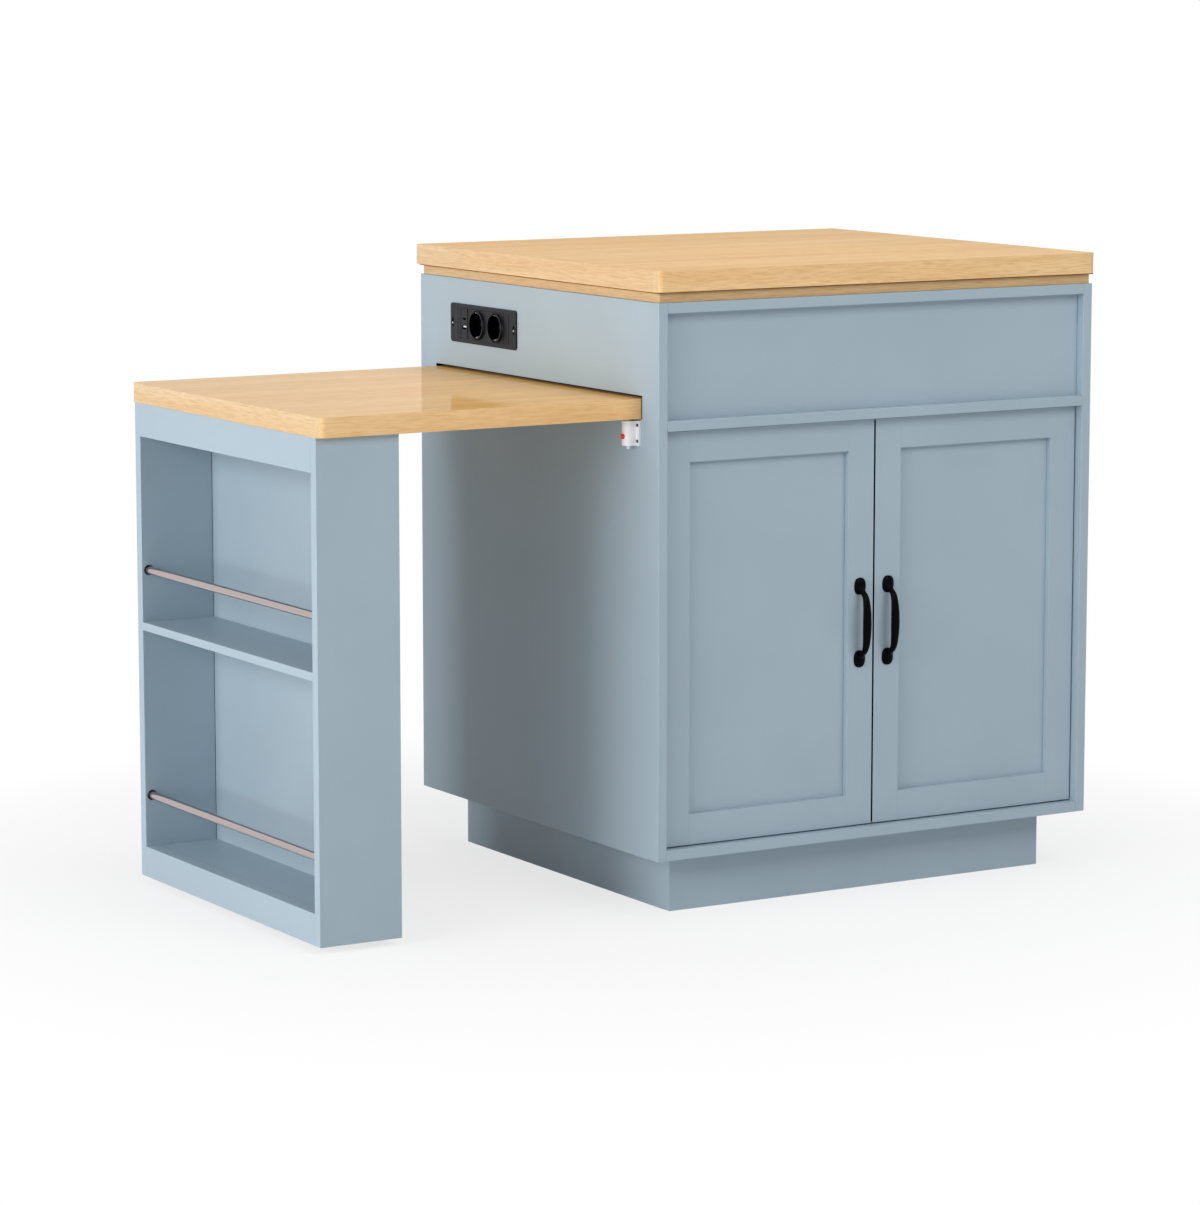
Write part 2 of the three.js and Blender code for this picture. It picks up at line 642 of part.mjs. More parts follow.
function buildExtension() {
  const group = new THREE.Group();
  const across = (x0, x1, z0, z1) => block(x0, x1, legBay.front, legBay.back, z0, z1);
  const shelf = (top) => across(legBay.outer, legBay.inner, top - LEG_BOARD, top);
  add(group, 'table_leaf', leafPiece(), oak);
  add(group, 'leaf_stop', leafStop(), oak);
  add(group, 'leg_side_front', legSide(leg.front), paint);
  add(group, 'leg_side_back', legSide(leg.back - LEG_BOARD), paint);
  add(group, 'leg_back_panel', across(legBay.inner, leg.inner, leg.foot, leg.top), paint);
  add(group, 'leg_fascia', across(
    leg.outer, legBay.outer, leg.top - FASCIA_HEIGHT, leg.top,
  ), paint);
  add(group, 'leg_kickboard', across(
    leg.outer, legBay.outer, leg.foot, bottomShelfTop,
  ), paint);
  add(group, 'leg_top_panel', shelf(leg.top), paint);
  add(group, 'leg_middle_shelf', across(
    leg.outer, legBay.inner, middleShelfTop - LEG_SHELF_BOARD, middleShelfTop,
  ), paint);
  add(group, 'leg_bottom_shelf', shelf(bottomShelfTop), paint);
  add(group, 'leg_rod_upper', legRod(rodLevels.upper), steel);
  add(group, 'leg_rod_lower', legRod(rodLevels.lower), steel);
  return group;
}

// ------------------------------------------------------------------ wheels

const wheelX = (legBay.outer + legBay.inner) / 2;
const wheelPlaces = {
  front: legBay.front + WHEEL_FROM_END,
  back: legBay.back - WHEEL_FROM_END,
};

function wheel(y) {
  const bore = AXLE_RADIUS + CLEARANCE;
  const half = WHEEL_WIDTH / 2;
  const tread = half - WHEEL_BEVEL;
  const shoulder = WHEEL_RADIUS - WHEEL_BEVEL;
  return turned([
    [bore, -half], [shoulder, -half], [WHEEL_RADIUS, -tread], [WHEEL_RADIUS, tread],
    [shoulder, half], [bore, half], [bore, -half],
  ], 40).translate(wheelX, y, WHEEL_RADIUS);
}

// The fork is a plate under the bottom shelf with two cheeks and the axle between them.
function wheelFork(y) {
  const plateTop = bottomShelfTop - LEG_BOARD;
  const plateUnder = plateTop - FORK_THICKNESS;
  const near = WHEEL_WIDTH / 2 + CLEARANCE;
  const far = near + FORK_THICKNESS;
  const cheek = (y0, y1) => block(
    wheelX - FORK_WIDTH / 2, wheelX + FORK_WIDTH / 2, y0, y1,
    WHEEL_RADIUS - 2 * AXLE_RADIUS, plateTop,
  );
  return join(
    block(
      wheelX - FORK_PLATE_LENGTH / 2, wheelX + FORK_PLATE_LENGTH / 2,
      y - FORK_PLATE_WIDTH / 2, y + FORK_PLATE_WIDTH / 2, plateUnder, plateTop,
    ),
    cheek(y - far, y - near),
    cheek(y + near, y + far),
    bar(AXLE_RADIUS, [wheelX, y - far, WHEEL_RADIUS], [wheelX, y + far, WHEEL_RADIUS]),
  );
}

function buildWheels() {
  const group = new THREE.Group();
  for (const [place, y] of Object.entries(wheelPlaces)) {
    add(group, `wheel_fork_${place}`, wheelFork(y), nickel);
    add(group, `wheel_${place}`, wheel(y), rubber);
  }
  return group;
}

// ------------------------------------------------------------------ lock

const chamber = { floor: lockFoot + CHAMBER_FLOOR, roof: lockTop - CHAMBER_ROOF };
const springTop = chamber.floor + SPRING_LENGTH;
const collarFoot = springTop + CLEARANCE;
const lockFace = bolt.x - LOCK_RADIUS;
const buttonLevel = lockFoot + BUTTON_HEIGHT;

function lockHousing() {
  const outline = new THREE.Shape();
  outline.moveTo(0, LOCK_FRONT);
  outline.lineTo(0, LOCK_FRONT + LOCK_FLANGE_WIDTH);
  outline.lineTo(-LOCK_FLANGE, LOCK_FRONT + LOCK_FLANGE_WIDTH);
  outline.lineTo(-LOCK_FLANGE, bolt.y + LOCK_RADIUS);
  outline.lineTo(bolt.x, bolt.y + LOCK_RADIUS);
  outline.absarc(bolt.x, bolt.y, LOCK_RADIUS, Math.PI / 2, 1.5 * Math.PI);
  outline.lineTo(-LOCK_FLANGE, bolt.y - LOCK_RADIUS);
  outline.lineTo(-LOCK_FLANGE, LOCK_FRONT);
  const onAxis = (radius, z0, z1) => bar(radius, [bolt.x, bolt.y, z0], [bolt.x, bolt.y, z1]);
  return cut(
    prism(outline, ALONG_Z, lockFoot, lockTop),
    onAxis(BOLT_RADIUS + CLEARANCE, lockFoot - 1, lockTop + 1),
    onAxis(CHAMBER_RADIUS, chamber.floor, chamber.roof),
    bar(BUTTON_RADIUS + CLEARANCE, [lockFace - 1, bolt.y, buttonLevel], [bolt.x, bolt.y, buttonLevel]),
  );
}

// The bolt is shown drawn back: its tail hangs out below and its tip is under the leaf.
function lockBolt() {
  const tip = leafUnder - BOLT_HEADROOM;
  const tail = lockFoot - BOLT_TAIL;
  const r = BOLT_RADIUS;
  const profile = [
    [0, tail], [r, tail], [r, tail + 1], [r - BOLT_WAIST, tail + BOLT_TAIL / 2],
    [r, lockFoot], [r, collarFoot], [COLLAR_RADIUS, collarFoot],
    [COLLAR_RADIUS, collarFoot + COLLAR_HEIGHT], [r, collarFoot + COLLAR_HEIGHT],
    [r, tip - 1], [r - 1, tip], [0, tip],
  ];
  return turned(profile, SMALL_ROUND).rotateX(Math.PI / 2).translate(bolt.x, bolt.y, 0);
}

class Helix extends THREE.Curve {
  constructor(radius, height, turns) {
    super();
    Object.assign(this, { radius, height, turns });
  }

  getPoint(t, target = new THREE.Vector3()) {
    const angle = 2 * Math.PI * this.turns * t;
    return target.set(
      this.radius * Math.cos(angle), this.radius * Math.sin(angle), this.height * t,
    );
  }
}

function lockSpring() {
  const wire = SPRING_WIRE / 2;
  const radius = (BOLT_RADIUS + CHAMBER_RADIUS) / 2;
  const height = SPRING_LENGTH - CLEARANCE - SPRING_WIRE;
  const section = new THREE.Shape().absarc(0, 0, wire, 0, 2 * Math.PI);
  const coil = new THREE.ExtrudeGeometry(section, {
    extrudePath: new Helix(radius, height, SPRING_TURNS),
    steps: 14 * SPRING_TURNS,
    curveSegments: 3,
    bevelEnabled: false,
  });
  return coil.translate(bolt.x, bolt.y, chamber.floor + CLEARANCE + wire);
}

function lockButton() {
  const length = BUTTON_PROUD + BUTTON_STEM;
  const edge = length - BUTTON_PROUD / 2;
  return turned([
    [0, 0], [BUTTON_RADIUS, 0], [BUTTON_RADIUS, edge], [BUTTON_RADIUS * 0.8, length - 0.4],
    [BUTTON_RADIUS * 0.4, length], [0, length],
  ], SMALL_ROUND).rotateZ(Math.PI / 2).translate(lockFace + BUTTON_STEM, bolt.y, buttonLevel);
}

function buildLock() {
  const group = new THREE.Group();
  add(group, 'lock_housing', lockHousing(), whitePlastic);
  add(group, 'lock_bolt', lockBolt(), whitePlastic);
  add(group, 'lock_spring', lockSpring(), steel);
  add(group, 'lock_button', lockButton(), redPlastic);
  return group;
}

// ------------------------------------------------------------------ outlet

const plateFace = -PLATE_THICKNESS;
const moduleFace = plateFace - MODULE_FACE;
const socketFace = plateFace - SOCKET_PROUD;
const socketPair = plate.y + SOCKET_OFFSET;
const socketYs = [socketPair - SOCKET_PITCH / 2, socketPair + SOCKET_PITCH / 2];
const socketRim = SOCKET_RECESS + SOCKET_COLLAR;
const socketHalf = SOCKET_PITCH / 2 + socketRim + 1;
const usbY = plate.y + USB_OFFSET;

function outletPlate() {
  const corner = PLATE_CORNER;
  const outline = roundedRectangle(
    plate.y - PLATE_LENGTH / 2, plate.y + PLATE_LENGTH / 2,
    plate.z - PLATE_HEIGHT / 2, plate.z + PLATE_HEIGHT / 2, [corner, corner, corner, corner],
  );
  const window = (middle, half) => block(
    plateFace - 1, 1, middle - half - CLEARANCE, middle + half + CLEARANCE,
    plate.z - MODULE_HEIGHT / 2 - CLEARANCE, plate.z + MODULE_HEIGHT / 2 + CLEARANCE,
  );
  const windows = [window(socketPair, socketHalf), window(usbY, USB_WIDTH / 2)];
  return cut(prism(outline, ALONG_X, plateFace, 0), ...windows);
}

// Two sockets in one moulding: each is a collar round a recess with two pin holes and a
// notch at the top and at the bottom for the earth clips.
function outletSockets() {
  const body = block(
    moduleFace, socketFace + SOCKET_BODY_DEPTH, socketPair - socketHalf, socketPair + socketHalf,
    plate.z - MODULE_HEIGHT / 2, plate.z + MODULE_HEIGHT / 2,
  );
  const along = (radius, y, x0, x1, sides) => bar(radius, [x0, y, plate.z], [x1, y, plate.z], sides);
  const collars = socketYs.map((y) => along(socketRim, y, socketFace, 0, ROUND));
  const floor = socketFace + SOCKET_DEPTH;
  const hollows = socketYs.flatMap((y) => [
    along(SOCKET_RECESS, y, socketFace - 1, floor, ROUND),
    ...[-1, 1].map((hand) => along(
      PIN_HOLE_RADIUS, y + hand * PIN_HOLE_PITCH / 2, floor - 1, socketFace + SOCKET_BODY_DEPTH + 1, 12,
    )),
    block(
      socketFace - 1, moduleFace, y - EARTH_NOTCH / 2, y + EARTH_NOTCH / 2,
      plate.z - socketRim - 1, plate.z + socketRim + 1,
    ),
  ]);
  return cut(join(body, ...collars), ...hollows);
}

function outletUsb() {
  const body = block(
    moduleFace, USB_BODY_DEPTH, usbY - USB_WIDTH / 2, usbY + USB_WIDTH / 2,
    plate.z - MODULE_HEIGHT / 2, plate.z + MODULE_HEIGHT / 2,
  );
  const ports = [USB_A, USB_C].map(({ width, height, drop, depth }) => block(
    moduleFace - 1, moduleFace + depth, usbY - width / 2, usbY + width / 2,
    plate.z - drop - height / 2, plate.z - drop + height / 2,
  ));
  return cut(body, ...ports);
}

// The box behind the plate is open towards it, with a gland for the supply lead.
function outletBox() {
  const shell = (margin, x0, x1) => block(
    x0, x1, plate.y - BOX_LENGTH / 2 + margin, plate.y + BOX_LENGTH / 2 - margin,
    plate.z - BOX_HEIGHT / 2 + margin, plate.z + BOX_HEIGHT / 2 - margin,
  );
  const gland = (radius, x0) => bar(radius, [x0, usbY, plate.z], [BOX_DEPTH + GLAND_LENGTH, usbY, plate.z]);
  const closed = join(shell(0, 0, BOX_DEPTH), gland(GLAND_RADIUS, BOX_DEPTH - BOX_WALL));
  const bore = bar(
    GLAND_BORE, [BOX_DEPTH - 2 * BOX_WALL, usbY, plate.z], [BOX_DEPTH + GLAND_LENGTH + 1, usbY, plate.z],
  );
  return cut(closed, shell(BOX_WALL, -1, BOX_DEPTH - BOX_WALL), bore);
}

function buildOutlet() {
  const group = new THREE.Group();
  add(group, 'outlet_plate', outletPlate(), blackPlastic);
  add(group, 'outlet_sockets', outletSockets(), blackPlastic);
  add(group, 'outlet_usb', outletUsb(), blackPlastic);
  add(group, 'outlet_box', outletBox(), blackPlastic);
  return group;
}

// ------------------------------------------------------------------ assembly

island.add(
  buildPlinth(), buildCarcass(), buildWorktop(), buildLeafGuides(), buildDoor('left'),
  buildDoor('right'), buildExtension(), buildWheels(), buildLock(), buildOutlet(),
);

// The whole object reaches from the leaf's outer end to the worktop's right edge, and from
// the front of the pulls to the worktop's back edge.
const reach = {
  left: -LEAF_REACH,
  right: CABINET_WIDTH + SLAB_SIDE_OVERHANG,
  front: doorFront - PULL_REACH - PULL_THICKNESS / 2,
  back: CABINET_DEPTH + SLAB_FRONT_OVERHANG,
};
island.position.set(-(reach.left + reach.right) / 2, -(reach.front + reach.back) / 2, 0);

export default island;
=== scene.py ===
# %% [markdown]
# # A kitchen island with a pull-out table leaf
#
# This lesson dresses a finished CAD model. The model brings every board, door and wheel at
# its true size. We add what CAD leaves out: eased edges, paint, oak grain, turned pulls,
# screws and the small metal parts, and then the camera and the light of a product picture.
# The first cell loads the model and keeps its box, to compare with ours at the end.

# %% Load the model
import json
import math

import bmesh
import bpy
import numpy as np
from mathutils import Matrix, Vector


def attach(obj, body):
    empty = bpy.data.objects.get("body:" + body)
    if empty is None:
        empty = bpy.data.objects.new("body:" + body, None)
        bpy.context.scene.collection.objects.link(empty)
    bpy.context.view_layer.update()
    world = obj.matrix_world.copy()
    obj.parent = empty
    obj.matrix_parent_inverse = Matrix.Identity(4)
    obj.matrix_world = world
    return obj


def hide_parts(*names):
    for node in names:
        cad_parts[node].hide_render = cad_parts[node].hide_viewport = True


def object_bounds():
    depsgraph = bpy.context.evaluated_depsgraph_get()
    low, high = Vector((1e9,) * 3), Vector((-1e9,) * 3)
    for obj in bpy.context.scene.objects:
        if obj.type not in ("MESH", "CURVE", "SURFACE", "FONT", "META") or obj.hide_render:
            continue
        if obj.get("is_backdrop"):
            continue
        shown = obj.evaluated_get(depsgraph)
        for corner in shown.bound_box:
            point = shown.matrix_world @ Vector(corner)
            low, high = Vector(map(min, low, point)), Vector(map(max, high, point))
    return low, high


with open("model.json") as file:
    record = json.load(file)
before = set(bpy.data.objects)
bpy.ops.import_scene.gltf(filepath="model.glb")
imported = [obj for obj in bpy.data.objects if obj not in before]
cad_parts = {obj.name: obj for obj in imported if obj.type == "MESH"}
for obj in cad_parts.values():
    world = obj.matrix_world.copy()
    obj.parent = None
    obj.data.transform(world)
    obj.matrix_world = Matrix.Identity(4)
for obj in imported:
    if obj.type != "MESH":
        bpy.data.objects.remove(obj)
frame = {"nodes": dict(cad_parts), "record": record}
cad_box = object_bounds()
nodes = frame["nodes"]

# %% [markdown]
# ## One set of measures
#
# The cabinet was measured in millimetres from its front left corner on the floor: X runs
# right along the doors, Y runs to the back. The model's own origin lies under the middle of
# the whole object. One helper turns cabinet millimetres into the model's metres, so that
# every piece below can be written in sizes that a joiner would recognise.

# %% Cabinet millimetres to model metres
MODEL_ORIGIN = np.array([123.5, 340.5, 0.0])


def place(points):
    """Model metres = (cabinet millimetres - origin) / 1000."""
    return (np.asarray(points, float) - MODEL_ORIGIN) / 1000


print("cabinet's front left corner, in the model's metres:", place((0, 0, 0)).tolist())

# %% [markdown]
# ## Camera
#
# The picture was taken from the front left, a little above the worktop, with a long lens.
# The camera's place comes from matching the cabinet's corners to the picture. It could also
# be set by eye, but three corners out of line are easy to see in a box-shaped object.

# %% Camera
CAMERA_AT = (-3201.9, -5180.8, 1346.2)
CAMERA_TURN = 0.54018  # radians to the right of straight ahead
CAMERA_TILT = 0.14509  # radians down
FOCAL_PIXELS = 4398.3
PICTURE_HEIGHT = 1205  # pixels; the longer side, which the sensor's width spans
SENSOR_WIDTH = 36  # millimetres
FAR_LIMIT = 60  # metres

camera_data = bpy.data.cameras.new("camera")
camera_data.sensor_width = SENSOR_WIDTH
camera_data.lens = FOCAL_PIXELS * SENSOR_WIDTH / PICTURE_HEIGHT
camera_data.clip_end = FAR_LIMIT
camera = bpy.data.objects.new("camera", camera_data)
camera.location = place(CAMERA_AT)
camera.rotation_euler = (math.pi / 2 - CAMERA_TILT, 0, -CAMERA_TURN)
bpy.context.scene.collection.objects.link(camera)
bpy.context.scene.camera = camera
print("lens:", round(camera_data.lens, 1), "mm")

# %% [markdown]
# ## Helpers for nodes
#
# The world, the floor and every finish are small networks of nodes. Wiring them by hand
# takes three lines a node. These helpers take one: each input is either a plain value or
# the output of another node, and the helper sets the one and links the other.

# %% Helpers for nodes
def add_node(tree, kind, inputs, operation=None, data_type=None):
    """A new node; inputs maps each socket to a value, or to an output to link in."""
    node = tree.nodes.new(kind)
    if operation:
        node.operation = operation
    if data_type:
        node.data_type = data_type
    for socket, value in inputs.items():
        if isinstance(value, bpy.types.NodeSocket):
            tree.links.new(value, node.inputs[socket])
        else:
            node.inputs[socket].default_value = value
    return node


# A Mix node keeps its two values, and its result, in other sockets for each kind of data.
MIX_SOCKETS = {"FLOAT": (2, 3, 0), "VECTOR": (4, 5, 1), "RGBA": (6, 7, 2)}


def mixed(tree, kind, factor, one, other, blend="MIX"):
    """The first value where the factor is 0, the other or their blend where it is 1."""
    first, second, result = MIX_SOCKETS[kind]
    node = add_node(tree, "ShaderNodeMix", {0: factor, first: one, second: other},
                    data_type=kind)
    node.blend_type = blend
    return node.outputs[result]


def ramped(tree, value, low, high, start, end):
    """Maps the value from low..high to start..end and holds it there."""
    node = add_node(tree, "ShaderNodeMapRange", {
        "Value": value, "From Min": low, "From Max": high, "To Min": start, "To Max": end})
    return node.outputs["Result"]


print("node helpers: add_node, mixed, ramped")

# %% [markdown]
# ## World
#
# The object stands on white. A bright world would do that, but it would also wash out the
# object. So the world is dim where it lights things, and pure white only for the rays that
# the eye sees, straight, in a reflection or through glass.

# %% World
WORLD_FILL = 0.15
WHITE = (1.0, 1.0, 1.0, 1.0)

scene = bpy.context.scene
scene.view_settings.view_transform = "Standard"


def seen_rays(tree):
    """1 for the rays that see the background, 0 for those that light the object: the
    largest of the camera, glossy and transmission flags."""
    path = add_node(tree, "ShaderNodeLightPath", {})
    seen = path.outputs["Is Camera Ray"]
    for ray in ("Is Glossy Ray", "Is Transmission Ray"):
        larger = add_node(tree, "ShaderNodeMath", {0: seen, 1: path.outputs[ray]}, "MAXIMUM")
        seen = larger.outputs[0]
    return seen


world = bpy.data.worlds.new("studio")
world.use_nodes = True
scene.world = world
background = world.node_tree.nodes["Background"]
background.inputs["Color"].default_value = WHITE
strength = mixed(world.node_tree, "FLOAT", seen_rays(world.node_tree), WORLD_FILL, 1.0)
world.node_tree.links.new(strength, background.inputs["Strength"])
print("world: light", WORLD_FILL, "seen 1.0")

# %% [markdown]
# ## Lamps
#
# Two large soft lamps, one square to the left side and one off the front left corner, light
# the leaf, the shelf unit and the outlet side. Weaker ones above keep the doors and the
# tops a step darker; the one high in front draws a soft shadow under every ledge. A point
# lamp would draw hard ones; a large area lamp acts like a photographer's softbox.

# %% Lamps
def soft_lamp(name, at, towards, size, watts):
    """A square lamp that faces a point; both places are in cabinet millimetres."""
    data = bpy.data.lights.new(name, "AREA")
    data.size = size
    data.energy = watts
    lamp = bpy.data.objects.new(name, data)
    start, end = place(at), place(towards)
    lamp.location = start
    lamp.rotation_euler = Vector(end - start).to_track_quat("-Z", "Y").to_euler()
    scene.collection.objects.link(lamp)


LEAF_SIDE = (-200, 300, 600)
soft_lamp("lamp_left", (-7000, -200, 1900), LEAF_SIDE, size=4.5, watts=392)
soft_lamp("lamp_corner", (-6500, -2800, 1800), LEAF_SIDE, size=3.5, watts=88)
soft_lamp("lamp_front", (900, -3300, 3300), (375, 0, 500), size=2.4, watts=86)
soft_lamp("lamp_top", (100, 300, 3600), (150, 300, 900), size=2.5, watts=36)

# %% [markdown]
# ## Floor
#
# The floor of the studio is one large sheet, here a square of four points. It could curve
# up behind the object as paper does, but the white world already hides its far edge.

# %% Floor
FLOOR_HALF = 9.0  # metres

floor_mesh = bpy.data.meshes.new("floor")
floor_mesh.from_pydata([(x * FLOOR_HALF, y * FLOOR_HALF, 0)
                        for x, y in ((-1, -1), (1, -1), (1, 1), (-1, 1))], [], [(0, 1, 2, 3)])
floor = bpy.data.objects.new("floor", floor_mesh)
scene.collection.objects.link(floor)
floor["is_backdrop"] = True
print("floor:", 2 * FLOOR_HALF, "m across")

# %% [markdown]
# In the picture the floor is white too, but it still carries a soft shadow. So its finish
# is a mix: matt near-white paint, which takes the shadow, and a plain glow for the rays
# that the eye sees. The glow's share grows with the distance from the object, until the
# floor melts into the background.

# %% Floor finish
FLOOR_WHITE = (0.86, 0.86, 0.86, 1)
FADE_START, FADE_END = 0.6, 1.25  # metres from the middle of the object
GLOW_NEAR, GLOW_FAR = 0.74, 1.0  # share of the glow inside and outside the fade

floor_paint = bpy.data.materials.new("floor_white")
floor_paint.use_nodes = True
tree = floor_paint.node_tree
matt = tree.nodes["Principled BSDF"]
matt.inputs["Base Color"].default_value = FLOOR_WHITE
matt.inputs["Roughness"].default_value = 1.0
matt.inputs["Specular IOR Level"].default_value = 0
middle = add_node(tree, "ShaderNodeTexCoord", {})
distance = add_node(tree, "ShaderNodeVectorMath", {0: middle.outputs["Object"]}, "LENGTH")
fade = ramped(tree, distance.outputs["Value"], FADE_START, FADE_END, GLOW_NEAR, GLOW_FAR)
share = add_node(tree, "ShaderNodeMath", {0: seen_rays(tree), 1: fade}, "MULTIPLY")
glow = add_node(tree, "ShaderNodeEmission", {})
blend = add_node(tree, "ShaderNodeMixShader",
                 {0: share.outputs[0], 1: matt.outputs[0], 2: glow.outputs[0]})
tree.links.new(blend.outputs[0], tree.nodes["Material Output"].inputs["Surface"])
floor_mesh.materials.append(floor_paint)
print("floor finish nodes:", len(tree.nodes))

# %% [markdown]
# ## Finishes
#
# Each finish starts as a principled shader with its colour, roughness and metalness on the
# shader's own sockets. Colours are written as they look in a picture, 0 to 255, and turned
# into the light values that the shader works with.

# %% A plain finish
def linear(colour, depth=1.0):
    """The sRGB standard's curve: a straight line near black, a power above it. depth
    darkens the result evenly."""
    c = np.array(colour) / 255
    light = np.where(c <= 0.04045, c / 12.92, ((c + 0.055) / 1.055) ** 2.4)
    return (*(light * depth).tolist(), 1.0)


def finish(name, colour, roughness, metallic=0.0, **sockets):
    """A new material; extra sockets are named with underscores for spaces."""
    material = bpy.data.materials.new(name)
    material.use_nodes = True
    shader = material.node_tree.nodes["Principled BSDF"]
    shader.inputs["Base Color"].default_value = linear(colour)
    shader.inputs["Roughness"].default_value = roughness
    shader.inputs["Metallic"].default_value = metallic
    for socket, value in sockets.items():
        shader.inputs[socket.replace("_", " ")].default_value = value
    return material


print("middle grey as light:", [round(c, 3) for c in linear((128, 128, 128))])

# %% [markdown]
# ### Patterns
#
# A real surface is never one even tone. Pictures could be laid over it, but they stretch
# and show seams. Noise worked out in space has neither: squeezed along one axis it becomes
# wood grain or brushed steel, and left even it becomes clouds or a fine ripple. Nearly all
# of a noise's values lie between 0.3 and 0.7, so that span is what we map to a sheen.

# %% Patterns
MOST_NOISE = (0.3, 0.7)
FINE_BUMP = 0.0001  # metres


class Pattern:
    """Adds nodes to a finish. Every pattern reads Object coordinates, in metres."""

    def __init__(self, material):
        self.tree = material.node_tree
        self.shader = self.tree.nodes["Principled BSDF"]
        coordinates = add_node(self.tree, "ShaderNodeTexCoord", {})
        self.where = coordinates.outputs["Object"]
        self.normal = coordinates.outputs["Normal"]

    def noise(self, per_metre, detail, where=None):
        """Noise with so many blobs a metre along X, Y and Z."""
        stretch = add_node(self.tree, "ShaderNodeMapping",
                           {"Vector": where or self.where, "Scale": per_metre})
        node = add_node(self.tree, "ShaderNodeTexNoise", {
            "Vector": stretch.outputs["Vector"], "Scale": 1.0, "Detail": detail})
        return node.outputs["Fac"]

    def drive(self, socket, out):
        """Lets a pattern set one of the shader's sockets."""
        self.tree.links.new(out, self.shader.inputs[socket])

    def sheen(self, noise, low, high):
        """Roughness that follows a noise from low to high."""
        self.drive("Roughness", ramped(self.tree, noise, *MOST_NOISE, low, high))

    def bump(self, height, strength, distance=FINE_BUMP):
        """Tilts the surface as if the pattern were so many metres high."""
        node = add_node(self.tree, "ShaderNodeBump",
                        {"Height": height, "Strength": strength, "Distance": distance})
        self.drive("Normal", node.outputs["Normal"])


print("bump of a fine pattern:", FINE_BUMP * 1000, "mm")

# %% [markdown]
# ### Furniture paint
#
# Sprayed satin paint on board is almost plain. What gives it away as paint is a very fine
# orange-peel ripple, and a sheen that varies a little from place to place. Both come from
# noise, one at about a millimetre, one at a hand's width. The back board inside the shelf
# unit is painted a little deeper in tone, as painted shade for the deep bay it closes.

# %% Paint
PAINT_COLOUR = np.array([160, 178, 190])
PAINT_ROUGHNESS, PAINT_SHEEN = 0.42, (0.38, 0.47)
TONE_SHIFT = 1.5  # of 255, to either side
CLOUDS, CLOUD_EDGES = (7, 7, 7), (0.35, 0.65)  # per metre; where one tone ends
ORANGE_PEEL, PEEL_BUMP = (620, 620, 620), 0.12


def paint_finish(name, depth=1.0):
    """Two close tones, clouded together; depth darkens both alike."""
    low, high = (linear(PAINT_COLOUR + shift, depth) for shift in (-TONE_SHIFT, TONE_SHIFT))
    material = finish(name, PAINT_COLOUR, PAINT_ROUGHNESS)
    pattern = Pattern(material)
    cloud = pattern.noise(CLOUDS, detail=3)
    share = ramped(pattern.tree, cloud, *CLOUD_EDGES, 0.0, 1.0)
    pattern.drive("Base Color", mixed(pattern.tree, "RGBA", share, low, high))
    pattern.sheen(cloud, *PAINT_SHEEN)
    pattern.bump(pattern.noise(ORANGE_PEEL, detail=1), PEEL_BUMP, 2 * FINE_BUMP)
    return material


paint = paint_finish("paint")
# painted shade: the shelf unit's back board is painted deeper, as if shaded in its bay
paint_with_painted_shade = paint_finish("paint_with_painted_shade", depth=0.87)
print("paint colour as light:", [round(c, 3) for c in linear(PAINT_COLOUR)])

# %% [markdown]
# ### Which way the grain runs
#
# The worktop and the leaf are oak-faced, and their grain runs along X. A wood picture would
# show that, but a pattern worked out in space also wraps round the edges. On the two ends
# the edging strip's grain runs along Y, so there the X and Y coordinates change places.
# The surface's own direction tells the two apart.

# %% Grain direction
FACING = (0.7, 0.715)  # the normal's part along an axis, either side of 45 degrees
GRAIN_RIPPLE, RIPPLE_NOISE = (9, 40, 40), (0.2, 0.8)  # per metre; its lows and highs
RIPPLE_METRES = 0.003


def faces_along(pattern, axis):
    """1 where the surface faces along the axis (0 for X, 2 for Z), 0 where it doesn't."""
    parts = add_node(pattern.tree, "ShaderNodeSeparateXYZ", {0: pattern.normal})
    size = add_node(pattern.tree, "ShaderNodeMath", {0: parts.outputs[axis]}, "ABSOLUTE")
    return ramped(pattern.tree, size.outputs[0], *FACING, 0.0, 1.0)


def grain_space(pattern, edging):
    """Object coordinates whose X runs with the grain: X and Y change places on the
    edging, and a slow noise then moves Y and Z a little, so that the lines bend."""
    tree = pattern.tree
    here = add_node(tree, "ShaderNodeSeparateXYZ", {0: pattern.where}).outputs
    swapped = add_node(tree, "ShaderNodeCombineXYZ", {0: here[1], 1: here[0], 2: here[2]})
    along = mixed(tree, "VECTOR", edging, pattern.where, swapped.outputs[0])
    ripple = pattern.noise(GRAIN_RIPPLE, detail=1, where=along)
    shift = ramped(tree, ripple, *RIPPLE_NOISE, -RIPPLE_METRES, RIPPLE_METRES)
    spread = add_node(tree, "ShaderNodeCombineXYZ", {1: shift, 2: shift})
    bent = add_node(tree, "ShaderNodeVectorMath", {0: along, 1: spread.outputs[0]}, "ADD")
    return bent.outputs[0]


print("grain lines bend by up to", RIPPLE_METRES * 1000, "mm")

# %% [markdown]
# ### Lacquered oak
#
# Oak shows broad pale and golden bands, streaks inside them, short flecks and fine dark
# pores. A rings-of-a-tree pattern, cut through, would be truer to how wood grows, but on
# faced boards only these four are seen. Each is the same noise, stretched by a different
# amount, and laid over the one before.

# %% Oak layers
OAK_PALE = (240, 204, 153)
OAK_TONES = {"gold": (229, 184, 126), "deep": (203, 152, 95)}
